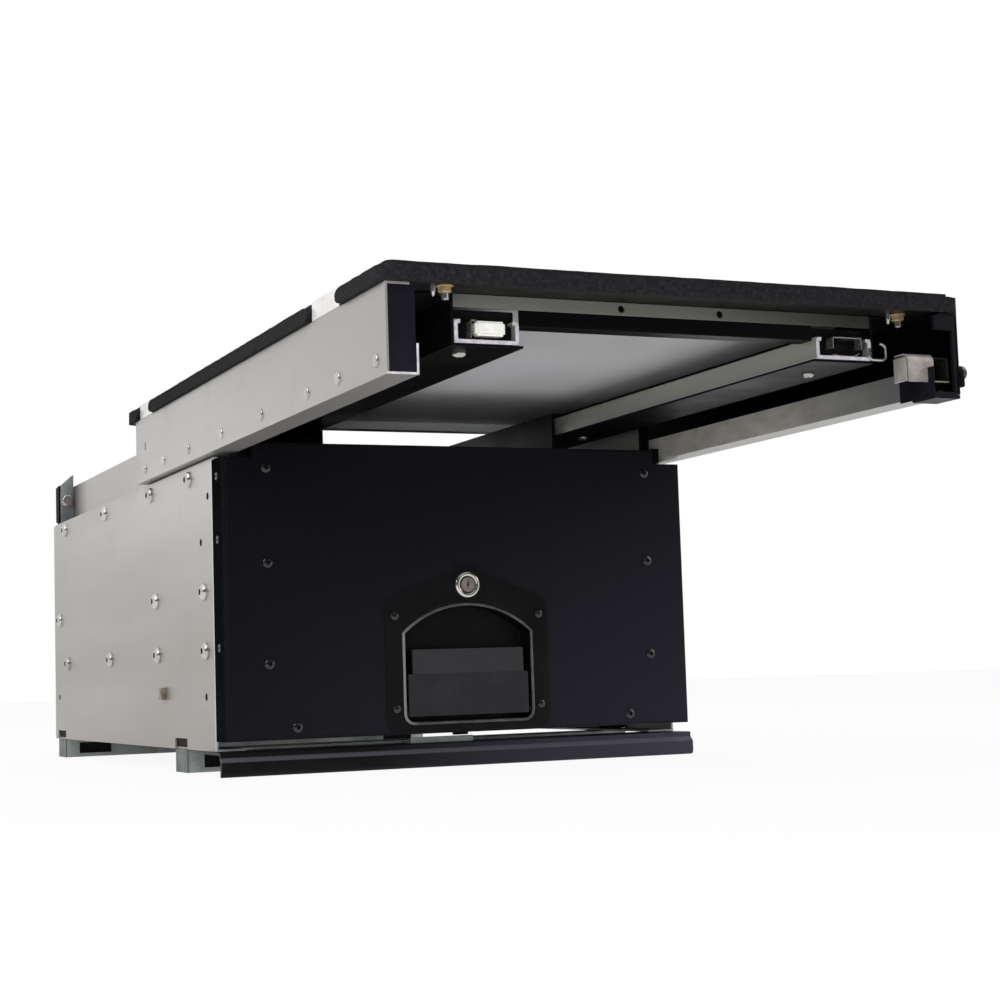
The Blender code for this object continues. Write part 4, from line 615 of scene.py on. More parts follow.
# Slide stops
# Black rubber plugs close the deck slides' mouths; a white nylon block on the left one, and a folded
# zinc clip with a bent hook on the right one, hold them at the end of their travel.
NYLON_SWATCHES = ("e4e2dc", "efeee9", "f6f5f1")
NYLON_BLOCK = ((-0.1742, -0.1492), (-0.4840, -0.4730), (0.3516, 0.3632))
PLUG_DEEP = (-0.4735, -0.4625)
PLUG_STEPS = ((0.0249, (0.3480, 0.3612)), (0.0216, (0.3606, 0.3650)), (0.0268, (0.3645, 0.3730)))
LEFT_CLIP = ((-0.1776, 0.3500), (-0.1776, 0.3632), (-0.1735, 0.3632))
RIGHT_CLIP = ((0.1520, 0.3545), (0.1520, 0.3645), (0.1815, 0.3645), (0.1815, 0.3545))
CLIP_FOOT = ((0.1535, 0.3492), (0.1600, 0.3482), (0.1750, 0.3482), (0.1800, 0.3510))
CLIPS = (
    (LEFT_CLIP, 0.0012, 0.0010, (-0.4828, -0.4745)),
    (RIGHT_CLIP, 0.0020, -0.0011, (-0.4845, -0.4745)),
    (CLIP_FOOT, 0.0015, 0.0008, (-0.4825, -0.4765)),
)
HOOK_PATH = ((0.1896, 0.3560), (0.1896, 0.3462), (0.2054, 0.3462), (0.2054, 0.3590), (0.2000, 0.3606))
HOOK_BEND = 0.0035
HOOK_FRONT = -0.4838
HOOK_BAR = 0.0011
nylon = surface("white_nylon", NYLON_SWATCHES, patch=0.006, shine=(0.35, 0.5), grain=0.0006)
stop = bmesh.new()
slab(stop, *NYLON_BLOCK, ease=0.0018, steps=3)
fix("slide_stop_left", stop, nylon, "deck")
plugs = bmesh.new()
for side in (-1, 1):
    for half, tall in PLUG_STEPS:
        slab(plugs, (side * SLIDE_CENTRE - half, side * SLIDE_CENTRE + half), PLUG_DEEP, tall, ease=0.0006)
fix("slide_plugs", plugs, rubber, "deck")
clip = bmesh.new()
for path, bend, thick, span in CLIPS:
    bent(clip, "xz", rounded(path, bend), thick, span)
clip_piece = fix("slide_clips", clip, bright_zinc, "deck")
ease_edges(clip_piece, 0.0002)


def wire(mesh, points, radius, sides=8, closed=False):
    """Run a round bar along some points."""
    points = [Vector(point) for point in points]
    count = len(points)
    rings = []
    across = None
    for n, point in enumerate(points):
        before = points[n - 1] if n or closed else point
        after = points[(n + 1) % count] if n + 1 < count or closed else point
        run = (after - before).normalized()
        across = across or run.orthogonal()
        across = (across - run * across.dot(run)).normalized()
        up = run.cross(across)
        turns = [2 * math.pi * n / sides for n in range(sides)]
        circle = [(across * math.cos(turn) + up * math.sin(turn)) * radius for turn in turns]
        rings.append([mesh.verts.new(point + off) for off in circle])
    pairs = list(zip(rings, rings[1:])) + ([(rings[-1], rings[0])] if closed else [])
    for low, high in pairs:
        for n in range(sides):
            mesh.faces.new((low[n], low[(n + 1) % sides], high[(n + 1) % sides], high[n]))
    if not closed:
        mesh.faces.new(list(reversed(rings[0])))
        mesh.faces.new(rings[-1])


hook = bmesh.new()
wire(hook, [(x, HOOK_FRONT, z) for x, z in rounded(HOOK_PATH, HOOK_BEND)], HOOK_BAR)
fix("slide_hook", hook, bright_zinc, "deck")

# Deck channels with their rivets
# The deck's side rails are folded from the same satin zinc sheet as the box; painted shade blacks their
# insides, painted light brightens their lips, painted shade darkens the lips' front ends, and the rails
# are darker towards the front. Large dome rivets hold the board's brackets.
CHANNEL_FACE = 0.2599
RIVET_HEAD = 0.0053
RIVET_RISE = 0.0023
RIVET_LINE = 0.327
DECK_FRONT = -0.5126
DECK_LENGTH = 0.796
RIVET_SHARES = (0.0276, 0.137, 0.235, 0.3995, 0.563, 0.7173, 0.844, 0.947)
PAINTED_SHADE_SWATCH = "060607"
LIP_LIGHT_SWATCH = "e2dfd4"
LIP_SHADE_SWATCH = "7d7f80"
FRONT_DARKER_BAND = ("Y", (0.0, -0.48), 0.75)
LIP_BAND = ("|X|", (0.2345, 0.2343))
LIP_PATCH = (0.012, 5, (1, 0.4, 1), 2.2)
LIP_CLOUD = (0.36, 0.58)
LIP_SHADE_BAND = ("Y", (-0.25, -0.45), 0.95)
INSIDE_SHADE_BANDS = (
    ("|X|", (0.2346, 0.2349)), ("|X|", (0.2592, 0.2589)), ("Z", (0.3145, 0.3150)), ("Y", (-0.5124, -0.5121)),
)
RIGHT_END_SHADE_BANDS = (("Y", (-0.5118, -0.5121)), ("X", (0.20, 0.21)))
deck_zinc = surface("deck_zinc", ZINC_SWATCHES, patch=0.22, shine=(0.36, 0.47),
                    grain=0.0022, relief=0.00005, metal=0.5, roll=ROLLED)
wear(deck_zinc, HANDLED_AND_SHADE_SWATCH, size=0.05, start=0.58, full=0.75, amount=0.3, shift=8.3)
# Darker towards the front.
tint(deck_zinc, HANDLED_AND_SHADE_SWATCH, FRONT_DARKER_BAND)
# Painted light on the lips' inner faces, mottled.
lip_mottle = spread(deck_zinc, cloud(deck_zinc, *LIP_PATCH), *LIP_CLOUD, 0.6, 1)
over(deck_zinc, LIP_LIGHT_SWATCH, both(deck_zinc, ramp(deck_zinc, *LIP_BAND), lip_mottle))
# Painted shade on the lips towards their front ends.
tint(deck_zinc, LIP_SHADE_SWATCH, LIP_BAND, LIP_SHADE_BAND)
# Painted shade: black inside the channels, and on the right channel's front end below.
tint(deck_zinc, PAINTED_SHADE_SWATCH, *INSIDE_SHADE_BANDS)
tint(deck_zinc, PAINTED_SHADE_SWATCH, *RIGHT_END_SHADE_BANDS)
dress(("deck_channel_left", "deck_channel_right"), deck_zinc, ease=0.0005)
for label, side in (("left", -1), ("right", 1)):
    rivets = bmesh.new()
    for share in RIVET_SHARES[0 if side < 0 else 1:]:
        place = stand((side * CHANNEL_FACE, DECK_FRONT + DECK_LENGTH * share, RIVET_LINE), (side, 0, 0))
        turned(rivets, button(RIVET_HEAD, RIVET_RISE), place, sides=20)
    fix("channel_rivets_" + label, rivets, bright_zinc, "deck")

# End caps and channel liner
# Black moulded caps close the channels' front ends, the right one with a window for the latch; a black
# moulded liner wraps the right lip's end, and the left one's sawn edge shows bright.
CAP_SWATCHES = ("111016", "15141b", "1b1a23")
LINER_SIDE = ((0.23358, 0.23386), (-0.5126, -0.4626), (0.3124, 0.3380))
LINER_FOOT = ((0.2340, 0.2598), (-0.5126, -0.4790), (0.3106, 0.3138))
CUT_FACES = (((-0.2358, -0.2340), (0.3141, 0.3379)), ((-0.2598, -0.2360), (0.3141, 0.3158)))
black_moulding = surface("black_moulding", CAP_SWATCHES, patch=0.03, shine=(0.4, 0.52),
                         grain=0.0007, relief=0.00003, gloss=0.1)
# A painted highlight along the edges, broken by patches of wear.
edge_highlight_and_wear(black_moulding, EDGE_HIGHLIGHT_SWATCH, 0.3)
dress(("end_cap_left", "end_cap_right"), black_moulding, ease=0.0007, steps=3)
liner = bmesh.new()
slab(liner, *LINER_SIDE, ease=0.0001, steps=1)
slab(liner, *LINER_FOOT, ease=0.0006)
fix("channel_liner", liner, black_moulding, "deck")
edges = bmesh.new()
for across, tall in CUT_FACES:
    slab(edges, across, [DECK_FRONT + off for off in SAWN_SKIN], tall, ease=0.0002, steps=1)
fix("channel_cut_edges", edges, cut_steel, "deck")

# Deck beams, cross member, front plate and underside sheet
# Black beams carry the slides; a plain cross member and a dull grey front plate tie them, and a bright
# rolled sheet closes the deck from below. Painted shade darkens the plate towards its right end and the
# sheet towards its front, and painted light brightens the sheet towards its rear.
UNDERSIDE_SWATCHES = ("dadbdd", "e2e3e5", "e9eaec")
ROLLING_SWATCH = "c9cacc"
SHEET_REAR_LIGHT_SWATCH = "f4f5f7"
PLATE_SWATCHES = ("666760", "71726a", "7c7d75")
SHADE_SWATCH = "2c2d28"
PLATE_SHADE_BAND = ("X", (0.02, 0.17), 0.85)
SHEET_FRONT_SHADE_BAND = ("Y", (-0.20, -0.46), 0.5)
SHEET_REAR_LIGHT_BAND = ("Y", (-0.30, -0.05), 0.9)
BEAM_FOOT = 0.343
BEAM_BOLT = (0.0055, 0.0042, 0.0022)
BEAM_BOLTS = ((-0.176, -0.452), (0.166, -0.424), (-0.176, 0.02), (0.166, 0.02), (-0.176, 0.24), (0.166, 0.24))
dress(("deck_beam_left", "deck_beam_right", "deck_cross_front"), black_coat, ease=0.0005)
front_grey = surface("front_grey", PLATE_SWATCHES, patch=0.05, shine=(0.4, 0.55),
                     grain=0.0015, metal=0.3, roll=(0.2, 1, 1))
# Painted shade darkens the front plate towards its right end.
tint(front_grey, SHADE_SWATCH, PLATE_SHADE_BAND)
dress(("deck_front_plate",), front_grey, ease=0.0004)
underside = surface("underside", UNDERSIDE_SWATCHES, patch=0.3, shine=(0.3, 0.4),
                    grain=0.004, relief=0.00001, gloss=0.3, roll=(1, 0.08, 1))
wear(underside, ROLLING_SWATCH, size=0.12, start=0.5, full=0.8, amount=0.5, roll=(1, 0.3, 1))
# Painted shade darkens the sheet towards its front.
tint(underside, HANDLED_AND_SHADE_SWATCH, SHEET_FRONT_SHADE_BAND)
# Painted light brightens the sheet towards its rear.
tint(underside, SHEET_REAR_LIGHT_SWATCH, SHEET_REAR_LIGHT_BAND)
dress(("deck_underside_sheet",), underside, ease=0.0003)
heads = bmesh.new()
for across, there in BEAM_BOLTS:
    turned(heads, button(*BEAM_BOLT), stand((across, there, BEAM_FOOT), (0, 0, -1)), sides=18)
fix("beam_bolts", heads, bright_zinc, "deck", inside=socket_shade)

# Deck board with its nuts
# A film-faced board lies on the channels and beams; yellow lock nuts on zinc studs, with a small pin
# beside each, hold it from below.
BOARD_SWATCHES = ("0d0d0d", "121212", "181717")
BOARD_FOOT = 0.3843
BOARD_NUTS = ((-0.2085, -0.505), (0.2130, -0.493))
FLANGE_NUT = (
    (0.0070, 0.0001, 0), (0.0070, 0.0008, 0), (0.0060, 0.0014, 0), (0.0050, 0.0016, 1), (0.0050, 0.0050, 1),
    (0.0042, 0.0058, 0), (0, 0.0058, 0),
)
STUD = ((0.0030, 0.0050, 0), (0.0030, 0.0104, 0), (0.0024, 0.0112, 0), (0, 0.0112, 0))
PIN = (0.0022, 0.0090)
PIN_OFF = 0.0098
board_film = surface("board_film", BOARD_SWATCHES, patch=0.08, shine=(0.4, 0.55),
                     grain=0.0015, relief=0.00004, gloss=0.2)
dress(("deck_board",), board_film, ease=0.0003)
nuts = bmesh.new()
studs = bmesh.new()
for across, there in BOARD_NUTS:
    turned(nuts, FLANGE_NUT, stand((across, there, BOARD_FOOT), (0, 0, -1)))
    turned(studs, STUD, stand((across, there, BOARD_FOOT), (0, 0, -1)), sides=16)
    turned(studs, button(*PIN), stand((across - PIN_OFF, there, BOARD_FOOT), (0, 0, -1)), sides=16)
fix("board_nuts", nuts, yellow_zinc, "deck")
fix("board_studs", studs, bright_zinc, "deck")

# Deck carpet
# Charcoal needle-punch carpet is glued over the board, wrapped down round its edges and cut out
# round the lashing pans; its face is a flat felt of heathered fibres, a little uneven at the rim.
CARPET_SWATCHES = ("19191b", "202022", "28282b")
FIBRE_SWATCH = "3d3d42"
CARPET_ROLL = 0.0036
CARPET_STEPS = (0.007, 0.007, 0.0042)
CUT_CLEAR = 0.0003
CUT_LEVELS = (0.0008, 0.002, 0.0035, 0.0055, 0.008)
CUT_BLEND = 0.012
CUT_ROUND = 0.0125
CUT_MIDDLE = 0.4
CUT_PINCH = 0.85
RIM_SHARE = 0.992
RIM_HEIGHT = 0.0133
FOOT_KEPT = 0.0005
UNEVEN = ((0.011, 0.0004), (0.06, 0.0003))
UNEVEN_IN = 0.0003
NEAR = 0.0001
SHEEN = (0.03, 0.6)
carpet_felt = surface("carpet_felt", CARPET_SWATCHES, patch=0.004, shine=(0.9, 1.0),
                      grain=0.0011, relief=0.0005, gloss=0)
wear(carpet_felt, FIBRE_SWATCH, size=0.0016, start=0.56, full=0.72, amount=0.5)
wear(carpet_felt, CARPET_SWATCHES[0], size=0.07, start=0.5, full=0.75, amount=0.4, shift=6.1)
felt = carpet_felt.node_tree.nodes["Principled BSDF"]
felt.inputs["Sheen Weight"].default_value, felt.inputs["Sheen Roughness"].default_value = SHEEN
cover = copied("deck_carpet")
carpet_low, carpet_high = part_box("deck_carpet")
cut_ends = []
for end in ("front", "rear"):
    low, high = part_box("lashing_pan_%s_left" % end)
    cut_ends += [(low[1] - CUT_CLEAR, -1), (high[1] + CUT_CLEAR, 1)]
    cut_inner = abs(high[0])
roll_edges(cover, lambda one, two: min(one.z, two.z) > carpet_high[2] - 2 * NEAR, CARPET_ROLL, steps=3)
levels = []
for axis, step in enumerate(CARPET_STEPS):
    count = int((carpet_high[axis] - carpet_low[axis]) / step)
    levels += [(axis, carpet_low[axis] + step * n) for n in range(1, count)]
levels += [(1, place + inward * off) for place, inward in cut_ends for off in CUT_LEVELS]
for axis, level in levels:
    point, normal = Vector(), Vector()
    point[axis], normal[axis] = level, 1
    everything = [*cover.verts, *cover.edges, *cover.faces]
    bmesh.ops.bisect_plane(cover, geom=everything, plane_co=point, plane_no=normal, dist=SAME_PLACE)
thick = carpet_high[2] - carpet_low[2]
for vert in cover.verts:
    share = min(max((abs(vert.co.x) - cut_inner) / CUT_BLEND, 0), 1)
    height = (vert.co.z - carpet_low[2]) / thick
    for place, inward in cut_ends:
        off = (vert.co.y - place) * inward
        if -NEAR < off < CUT_ROUND:
            swell = math.sqrt(max(1 - (1 - max(off, 0) / CUT_ROUND) ** 2, 0))
            vert.co.z += (CUT_MIDDLE - height) * thick * share * (1 - swell) * CUT_PINCH
cover.normal_update()
middle = Vector(((carpet_low[0] + carpet_high[0]) / 2, (carpet_low[1] + carpet_high[1]) / 2, 0))
rim = Vector((carpet_high[0] - middle.x, carpet_high[1] - middle.y, 0))
for vert in cover.verts:
    off = vert.co - middle
    level = vert.co.z - carpet_low[2]
    outside = max(abs(off.x) / rim.x, abs(off.y) / rim.y) > RIM_SHARE or level > RIM_HEIGHT
    if outside and level > FOOT_KEPT:
        uneven = sum(noise.noise(vert.co / size) * depth for size, depth in UNEVEN) - UNEVEN_IN
        vert.co += vert.normal * uneven
carpet = fix("carpet", cover, carpet_felt, "deck", smooth=50)
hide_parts("deck_carpet")

# Lashing pans and rings
# Pressed bright-zinc pans are let into the deck's edges, each held by two countersunk screws; a closed
# ring of round bar folds flat in each.
PAN_SWATCHES = ("d3d1cd", "dedcd9", "e8e7e4")
PAN_SCREW = ((0.0026, 0, 0), (0.0026, 0.0003, 0), (0.0022, 0.0005, 0), (0.0011, 0.0005, 2),
             (0.0011, 0.0001, 2), (0, 0, 0))
PAN_SHEET = 0.0015
PAN_SCREW_ACROSS = 0.0060
PAN_SCREW_ALONG = 0.0085
pan_zinc = surface("pan_zinc", PAN_SWATCHES, patch=0.03, shine=(0.3, 0.4),
                   grain=0.0012, relief=0.00001, metal=0.3)
dress([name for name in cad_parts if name.startswith("lashing_pan")], pan_zinc, ease=0.0004)
dress([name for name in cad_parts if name.startswith("lashing_ring")], bright_zinc, ease=0.0004)
screws = bmesh.new()
for end in ("front", "rear"):
    for label in ("left", "right"):
        low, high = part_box("lashing_pan_%s_%s" % (end, label))
        across = math.copysign(min(abs(low[0]), abs(high[0])) + PAN_SCREW_ACROSS, low[0])
        for there in (low[1] + PAN_SCREW_ALONG, high[1] - PAN_SCREW_ALONG):
            turned(screws, PAN_SCREW, stand((across, there, low[2] + PAN_SHEET), (0, 0, 1)), sides=18)
fix("pan_screws", screws, bright_zinc, "deck", inside=socket_shade)

# Deck latch
# A flat bolt slides in a folded zinc housing, its right end darkened by painted shade, under a bright zinc
# cover; a black thumb lever with a round knob is riveted on the bolt outside the right channel.
BLACKED_SWATCHES = ("101012", "17171a", "202024")
HOUSING_SWATCHES = ("a39c95", "b3ada7", "c8c3bd")
HOUSING_SHADE_BAND = ("X", (0.2402, 0.2406), 0.95)
LATCH_FACE = ((-0.5026, 0.3268), (-0.5026, 0.3488), (-0.4846, 0.3488))
LATCH_SPAN = (0.2138, 0.2402)
COVER_BEND = 0.0070
COVER_SHEET = 0.0012
COVER_FLANGE = ((0.2138, 0.2560), (-0.5038, -0.5021), (0.3254, 0.3267))
LEVER = ((0.2615, 0.2636), (-0.5150, -0.4880), (0.3205, 0.3310))
KNOB_PLACE = (0.2616, -0.5092, 0.3330)
KNOB = ((0.0062, 0.0001, 0), (0.0062, 0.0030, 0), (0.0056, 0.0044, 0), (0.0040, 0.0053, 0), (0, 0.0056, 0))
housing_zinc = surface("housing_zinc", HOUSING_SWATCHES, patch=0.012, shine=(0.26, 0.36),
                       grain=0.0014, metal=0.4)
shaded_zinc = surface("shaded_zinc", HOUSING_SWATCHES, patch=0.012, shine=(0.3, 0.4), grain=0.0014, metal=0.4)
# Painted shade darkens the housing's right end.
tint(shaded_zinc, PAINTED_SHADE_SWATCH, HOUSING_SHADE_BAND)
dress(("latch_housing",), shaded_zinc, ease=0.0006)
dress(("latch_bolt",), black_coat, ease=0.0006, steps=3)
cover_plate = bmesh.new()
bent(cover_plate, "yz", rounded(LATCH_FACE, COVER_BEND, steps=6), COVER_SHEET, LATCH_SPAN)
slab(cover_plate, *COVER_FLANGE, ease=0.0003)
latch_cover = fix("latch_cover", cover_plate, housing_zinc, "deck")
ease_edges(latch_cover, 0.0003)
black_screw = surface("black_screw", BLACKED_SWATCHES, patch=0.01, shine=(0.2, 0.3),
                      grain=0.0008, relief=0.00001, gloss=0.6)
lever = bmesh.new()
turned(lever, KNOB, stand(KNOB_PLACE, (1, 0, 0)))
slab(lever, *LEVER, ease=0.0008)
fix("latch_lever", lever, black_screw, "deck_latch")

# Drawer
# The front is a deep folded tray with rolled edges in fine black powder coat, screwed to two brackets;
# the tub behind it hangs on the slides.
FRONT_SWATCHES = ("070708", "08080a", "0a0a0c")
FOLD_SWATCHES = ("0b0c0e", "0f1013", "141518")
LOWER_RIGHT_SHEEN_SWATCH = "2a2932"
FRONT_ROLL = 0.0036
FRONT_FACE = -0.0365
FRONT_SCREWS = ((0.2085, 0.1069), (0.2085, 0.2050), (0.2085, 0.2980), (0.1815, 0.0450))
FRONT_SCREW = (0.0053, 0.0030, 0.0018)
RETURN_SCREWS = (0.124, 0.229, 0.291)
RETURN_SCREW = (0.0040, 0.0014, 0.0014)
RETURN_LINE = -0.0185
LOWER_RIGHT_SHEEN_BANDS = (("X", (-0.25, 0.25), 0.95, 0.3), ("Z", (0.30, 0.04), 1, 0.35))
FACE_HALF = 0.2214
FACE_TOP = 0.3087
FACING_OUT = 0.95
front_coat = surface("front_coat", FRONT_SWATCHES, patch=0.18, shine=(0.34, 0.38),
                     grain=0.0010, relief=0.00001, gloss=0.06)
# A painted sheen lightens the front towards its lower right.
tint(front_coat, LOWER_RIGHT_SHEEN_SWATCH, *LOWER_RIGHT_SHEEN_BANDS)
# A painted highlight along the edges, broken by patches of wear.
edge_highlight_and_wear(front_coat, EDGE_HIGHLIGHT_SWATCH, 0.3)
fold_coat = surface("fold_coat", FOLD_SWATCHES, patch=0.1, shine=(0.6, 0.72),
                    grain=0.0010, relief=0.00004, gloss=0)
tray = copied("drawer_front")
tray_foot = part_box("drawer_front")[0][2]


def on_tray_edge(one, two):
    """Whether an edge of the tray's form runs round its face."""
    front = max(one.y, two.y) < FRONT_FACE + NEAR
    return front and all(abs(point.x) > FACE_HALF or point.z > FACE_TOP or point.z < tray_foot + NEAR
                         for point in (one, two))


roll_edges(tray, on_tray_edge, FRONT_ROLL, steps=5)
tray_piece = fix("drawer_tray_front", tray, front_coat, "drawer")
tray_piece.data.materials.append(fold_coat)
for face in tray_piece.data.polygons:
    if abs(face.center.x) > SIDE_FACE - NEAR and abs(face.normal.x) > FACING_OUT:
        face.material_index = 1
ease_edges(tray_piece, 0.0004)
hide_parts("drawer_front")
dress(("drawer_tub", "front_bracket_left", "front_bracket_right", "drawer_bolt"), black_coat, ease=0.0004)
screws = bmesh.new()
for side in (-1, 1):
    for across, height in FRONT_SCREWS:
        turned(screws, button(*FRONT_SCREW), stand((side * across, FRONT_FACE, height), (0, -1, 0)))
    for height in RETURN_SCREWS:
        place = stand((side * SIDE_FACE, RETURN_LINE, height), (side, 0, 0))
        turned(screws, button(*RETURN_SCREW), place, sides=18)
fix("drawer_screws", screws, black_screw, "drawer", inside=socket_shade)

# Handle
# A black pressed dish with a rolled bead round its mouth is riveted on the front; a two-step paddle
# turns on a pin at its foot, and a chromed cam lock sits above with a worn brass-grey barrel.
PRESSED_SWATCHES = ("0c0c0d", "101011", "141416")
PADDLE_SWATCHES = ("202023", "252529", "2b2b31")
PADDLE_LIGHT_SWATCH = "333336"
CHROME_SWATCHES = ("b9b5ad", "d0cdc6", "e4e1dc")
BARREL_SWATCHES = ("857a70", "9c9288", "b5aca3")
BEAD_SWATCHES = ("3a3a3c", "47474a", "58585b")
BEAD_HIGHLIGHT_SWATCH = "88888a"
PLATE_FACE = -0.0383
DISH_HALF = 0.070
DISH_FOOT = 0.044
DISH_SPRING = 0.134
DISH_TOP = 0.162
DISH_CORNER = 0.010
CORNER_STEPS = 6
ARC_STEPS = 12
BEAD = 0.0015
HANDLE_RIVET = (0.0042, 0.0022)
HANDLE_RIVETS = ((0.079, 0.059), (0.079, 0.151))
PADDLE_LIGHT_BAND = ("Z", (0.0925, 0.0940), 0.9)
BEAD_HIGHLIGHT_BAND = ("X", (-0.055, -0.070), 0.8)
LOCK_HEIGHT = 0.1816
RIM_MIDDLE = 0.0108
RIM_BAR = 0.0026
RIM_OUT = 0.0014
RIM_SIDES = 48
KEY_DEEP = (-0.04215, -0.0417)
KEY_CUTS = ((0.0006, 0.0034), (0.0012, 0.0010))
pressed_coat = surface("pressed_coat", PRESSED_SWATCHES, patch=0.05, shine=(0.32, 0.4),
                       grain=0.0009, relief=0.00001, gloss=0.12)
# A painted highlight along the edges, broken by patches of wear.
edge_highlight_and_wear(pressed_coat, EDGE_HIGHLIGHT_SWATCH, 0.35)
dress(("handle_dish",), pressed_coat, ease=0.0006, steps=3)
paddle_coat = surface("paddle_coat", PADDLE_SWATCHES, patch=0.04, shine=(0.36, 0.46),
                      grain=0.0009, relief=0.00003, gloss=0.3)
# Painted light on the paddle's upper step.
tint(paddle_coat, PADDLE_LIGHT_SWATCH, PADDLE_LIGHT_BAND)
dress(("paddle",), paddle_coat, ease=0.0006, steps=3)
bead_coat = surface("bead_coat", BEAD_SWATCHES, patch=0.02, shine=(0.25, 0.35), grain=0.0008, gloss=0.5)
# Painted highlight on the bead's left side.
tint(bead_coat, BEAD_HIGHLIGHT_SWATCH, BEAD_HIGHLIGHT_BAND)
rise = DISH_TOP - DISH_SPRING
arc_radius = (DISH_HALF ** 2 + rise ** 2) / (2 * rise)
arc_middle = DISH_TOP - arc_radius
reach = math.asin(DISH_HALF / arc_radius)
corner_turns = [math.pi / 2 * (1 - n / CORNER_STEPS) for n in range(CORNER_STEPS + 1)]
mouth = [(-DISH_HALF + DISH_CORNER * (1 - math.sin(turn)), DISH_FOOT + DISH_CORNER * (1 - math.cos(turn)))
         for turn in corner_turns]
mouth += [(-x, z) for x, z in reversed(mouth)]
arc_turns = [reach * (1 - n / ARC_STEPS) for n in range(2 * ARC_STEPS + 1)]
mouth += [(math.sin(turn) * arc_radius, arc_middle + math.cos(turn) * arc_radius) for turn in arc_turns]
bead = bmesh.new()
wire(bead, [(x, PLATE_FACE, z) for x, z in mouth], BEAD, sides=10, closed=True)
fix("dish_bead", bead, bead_coat, "drawer")
rivets = bmesh.new()
for side in (-1, 1):
    for across, height in HANDLE_RIVETS:
        turned(rivets, button(*HANDLE_RIVET), stand((side * across, PLATE_FACE, height), (0, -1, 0)))
fix("handle_rivets", rivets, black_screw, "drawer")
chrome = surface("chrome", CHROME_SWATCHES, patch=0.03, shine=(0.12, 0.2),
                 grain=0.003, relief=0.000004, metal=0.9)
barrel_metal = surface("barrel_metal", BARREL_SWATCHES, patch=0.004, shine=(0.3, 0.4),
                       grain=0.0004, metal=0.6)
rim = bmesh.new()
turns = [2 * math.pi * n / RIM_SIDES for n in range(RIM_SIDES)]
circle = [(math.cos(turn) * RIM_MIDDLE, PLATE_FACE - RIM_OUT, LOCK_HEIGHT + math.sin(turn) * RIM_MIDDLE)
          for turn in turns]
wire(rim, circle, RIM_BAR, sides=14, closed=True)
lock_rim = fix("lock_rim", rim, chrome, "drawer")
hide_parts("lock_ring")
dress(("lock_cylinder",), barrel_metal, ease=0.0008, steps=3)
# A dark plate on the barrel's face stands for the shade in the keyway.
keyway_shade = bmesh.new()
for half, tall in KEY_CUTS:
    slab(keyway_shade, (-half, half), KEY_DEEP, (LOCK_HEIGHT - tall, LOCK_HEIGHT + tall), ease=0.00015, steps=1)
fix("keyway_shade", keyway_shade, black_screw, "lock")

# Floor, lamps and camera
# A plain pale studio floor and soft lamps; dark cards stand in front and on the left for the metal and
# the black coats to reflect, and the camera stands where the photograph was taken from.
FLOOR_HALF = 14
FLOOR_LEVEL = -0.0002
FLOOR_WHITE = 0.92
FLOOR_SHADE = (0.86, 0.86, 0.86, 1)
PAINT_ROUGH = 0.9
LENS = 69.179
CLIP_START = 0.05
CAMERA_PLACE = (-0.759447, -1.830297, 0.088813)
CAMERA_TURN = -0.4195845
CAMERA_RISE = 0.0911643
CAMERA_ROLL = -0.0320194
ROOM_LIGHT = 0.55
CARD_SHADE = (0.02, 0.02, 0.021, 1)
CARD_HEIGHTS = (0.001, 3.2)
CARD_HIDDEN = ("camera", "diffuse", "transmission", "volume_scatter", "shadow")
DARK_CARDS = (("front_card", (-3.5, -3.2), (2.6, -3.2)), ("left_card", (-3.5, 0.1), (-3.5, -3.2)))
LAMPS = (
    ("key", (-2.2, -0.6, 2.0), (0, 0.1, 0.15), 1.8, 28),
    ("front", (-0.9, -3.0, 1.5), (0, 0, 0.2), 1.6, 16),
    ("right", (2.4, -0.6, 1.7), (0, 0.1, 0.2), 1.6, 14),
    ("rear", (0.4, 2.8, 2.2), (0, 0.2, 0.3), 1.8, 14),
    ("low", (-1.0, -1.5, 0.12), (0, 0, 0.3), 0.6, 10),
)


def white_to_the_eye(made, shader, output, share):
    """Show a paint or the room as plain white to the camera and in reflections, for a share."""
    nodes, links = made.node_tree.nodes, made.node_tree.links
    rays = nodes.new("ShaderNodeLightPath")
    seen = both(made, rays.outputs["Is Camera Ray"], rays.outputs["Is Glossy Ray"], "MAXIMUM")
    seen = both(made, seen, rays.outputs["Is Transmission Ray"], "MAXIMUM")
    mixed = nodes.new("ShaderNodeMixShader")
    white = nodes.new("ShaderNodeEmission")
    links.new(spread(made, seen, 0, 1, 0, share), mixed.inputs[0])
    links.new(nodes[shader].outputs[0], mixed.inputs[1])
    links.new(white.outputs[0], mixed.inputs[2])
    links.new(mixed.outputs[0], nodes[output].inputs["Surface"])


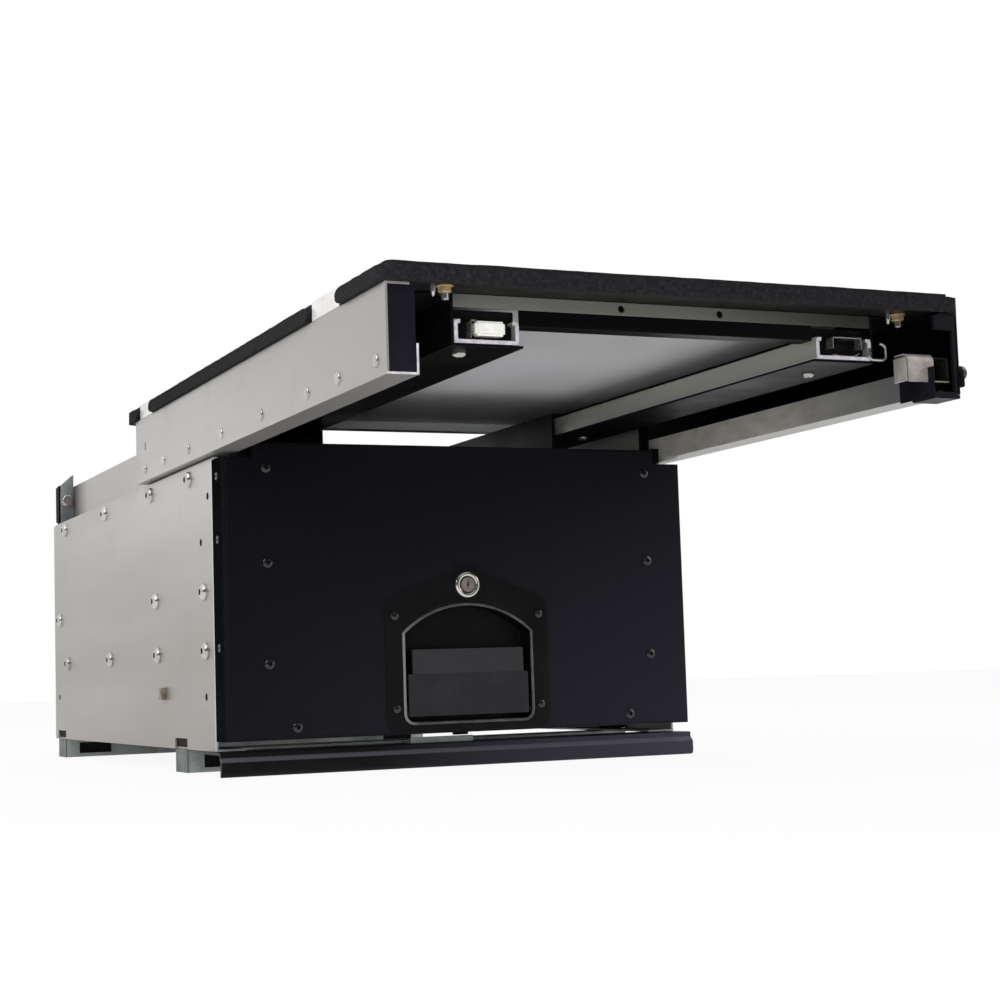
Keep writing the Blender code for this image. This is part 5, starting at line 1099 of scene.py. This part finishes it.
def backdrop(name, corners, colour):
    """A flat studio surface with a plain paint."""
    data = bpy.data.meshes.new(name)
    data.from_pydata(corners, [], [(0, 1, 2, 3)])
    standing = placed(name, data)
    painted = bpy.data.materials.new(name)
    painted.use_nodes = True
    shader = painted.node_tree.nodes["Principled BSDF"]
    shader.inputs["Base Color"].default_value = colour
    shader.inputs["Roughness"].default_value = PAINT_ROUGH
    data.materials.append(painted)
    return standing, painted


floor_corners = ((-1, -1), (1, -1), (1, 1), (-1, 1))
ground = [(x * FLOOR_HALF, y * FLOOR_HALF, FLOOR_LEVEL) for x, y in floor_corners]
floor_paint = backdrop("studio_floor", ground, FLOOR_SHADE)[1]
white_to_the_eye(floor_paint, "Principled BSDF", "Material Output", FLOOR_WHITE)
for name, start, end in DARK_CARDS:
    foot, head = CARD_HEIGHTS
    corners = [(*start, foot), (*end, foot), (*end, head), (*start, head)]
    card = backdrop(name, corners, CARD_SHADE)[0]
    for sight in CARD_HIDDEN:
        setattr(card, "visible_" + sight, False)

world = bpy.data.worlds.new("studio")
world.use_nodes = True
bpy.context.scene.world = world
room = world.node_tree.nodes["Background"]
room.inputs["Color"].default_value = (1, 1, 1, 1)
room.inputs["Strength"].default_value = ROOM_LIGHT
white_to_the_eye(world, "Background", "World Output", 1)

for name, place, aim, size, power in LAMPS:
    lamp = bpy.data.lights.new("lamp_" + name, "AREA")
    lamp.size = size
    lamp.energy = power
    stood = placed("lamp_" + name, lamp)
    stood.location = place
    stood.rotation_euler = (Vector(aim) - Vector(place)).to_track_quat("-Z", "Y").to_euler()
    stood.visible_camera = False
    stood.visible_glossy = name not in ("front", "low")

camera = placed("camera", bpy.data.cameras.new("camera"))
camera.data.lens = LENS
camera.data.clip_start = CLIP_START
across = Vector((math.cos(CAMERA_TURN), math.sin(CAMERA_TURN), 0))
ahead = Vector((-math.sin(CAMERA_TURN) * math.cos(CAMERA_RISE), math.cos(CAMERA_TURN) * math.cos(CAMERA_RISE),
                math.sin(CAMERA_RISE)))
upward = across.cross(ahead)
right = across * math.cos(CAMERA_ROLL) + upward * math.sin(CAMERA_ROLL)
top = upward * math.cos(CAMERA_ROLL) - across * math.sin(CAMERA_ROLL)
turn = Matrix((right, top, -ahead)).transposed().to_4x4()
camera.matrix_world = Matrix.Translation(CAMERA_PLACE) @ turn
bpy.context.scene.camera = camera
bpy.context.scene.view_settings.view_transform = "Standard"
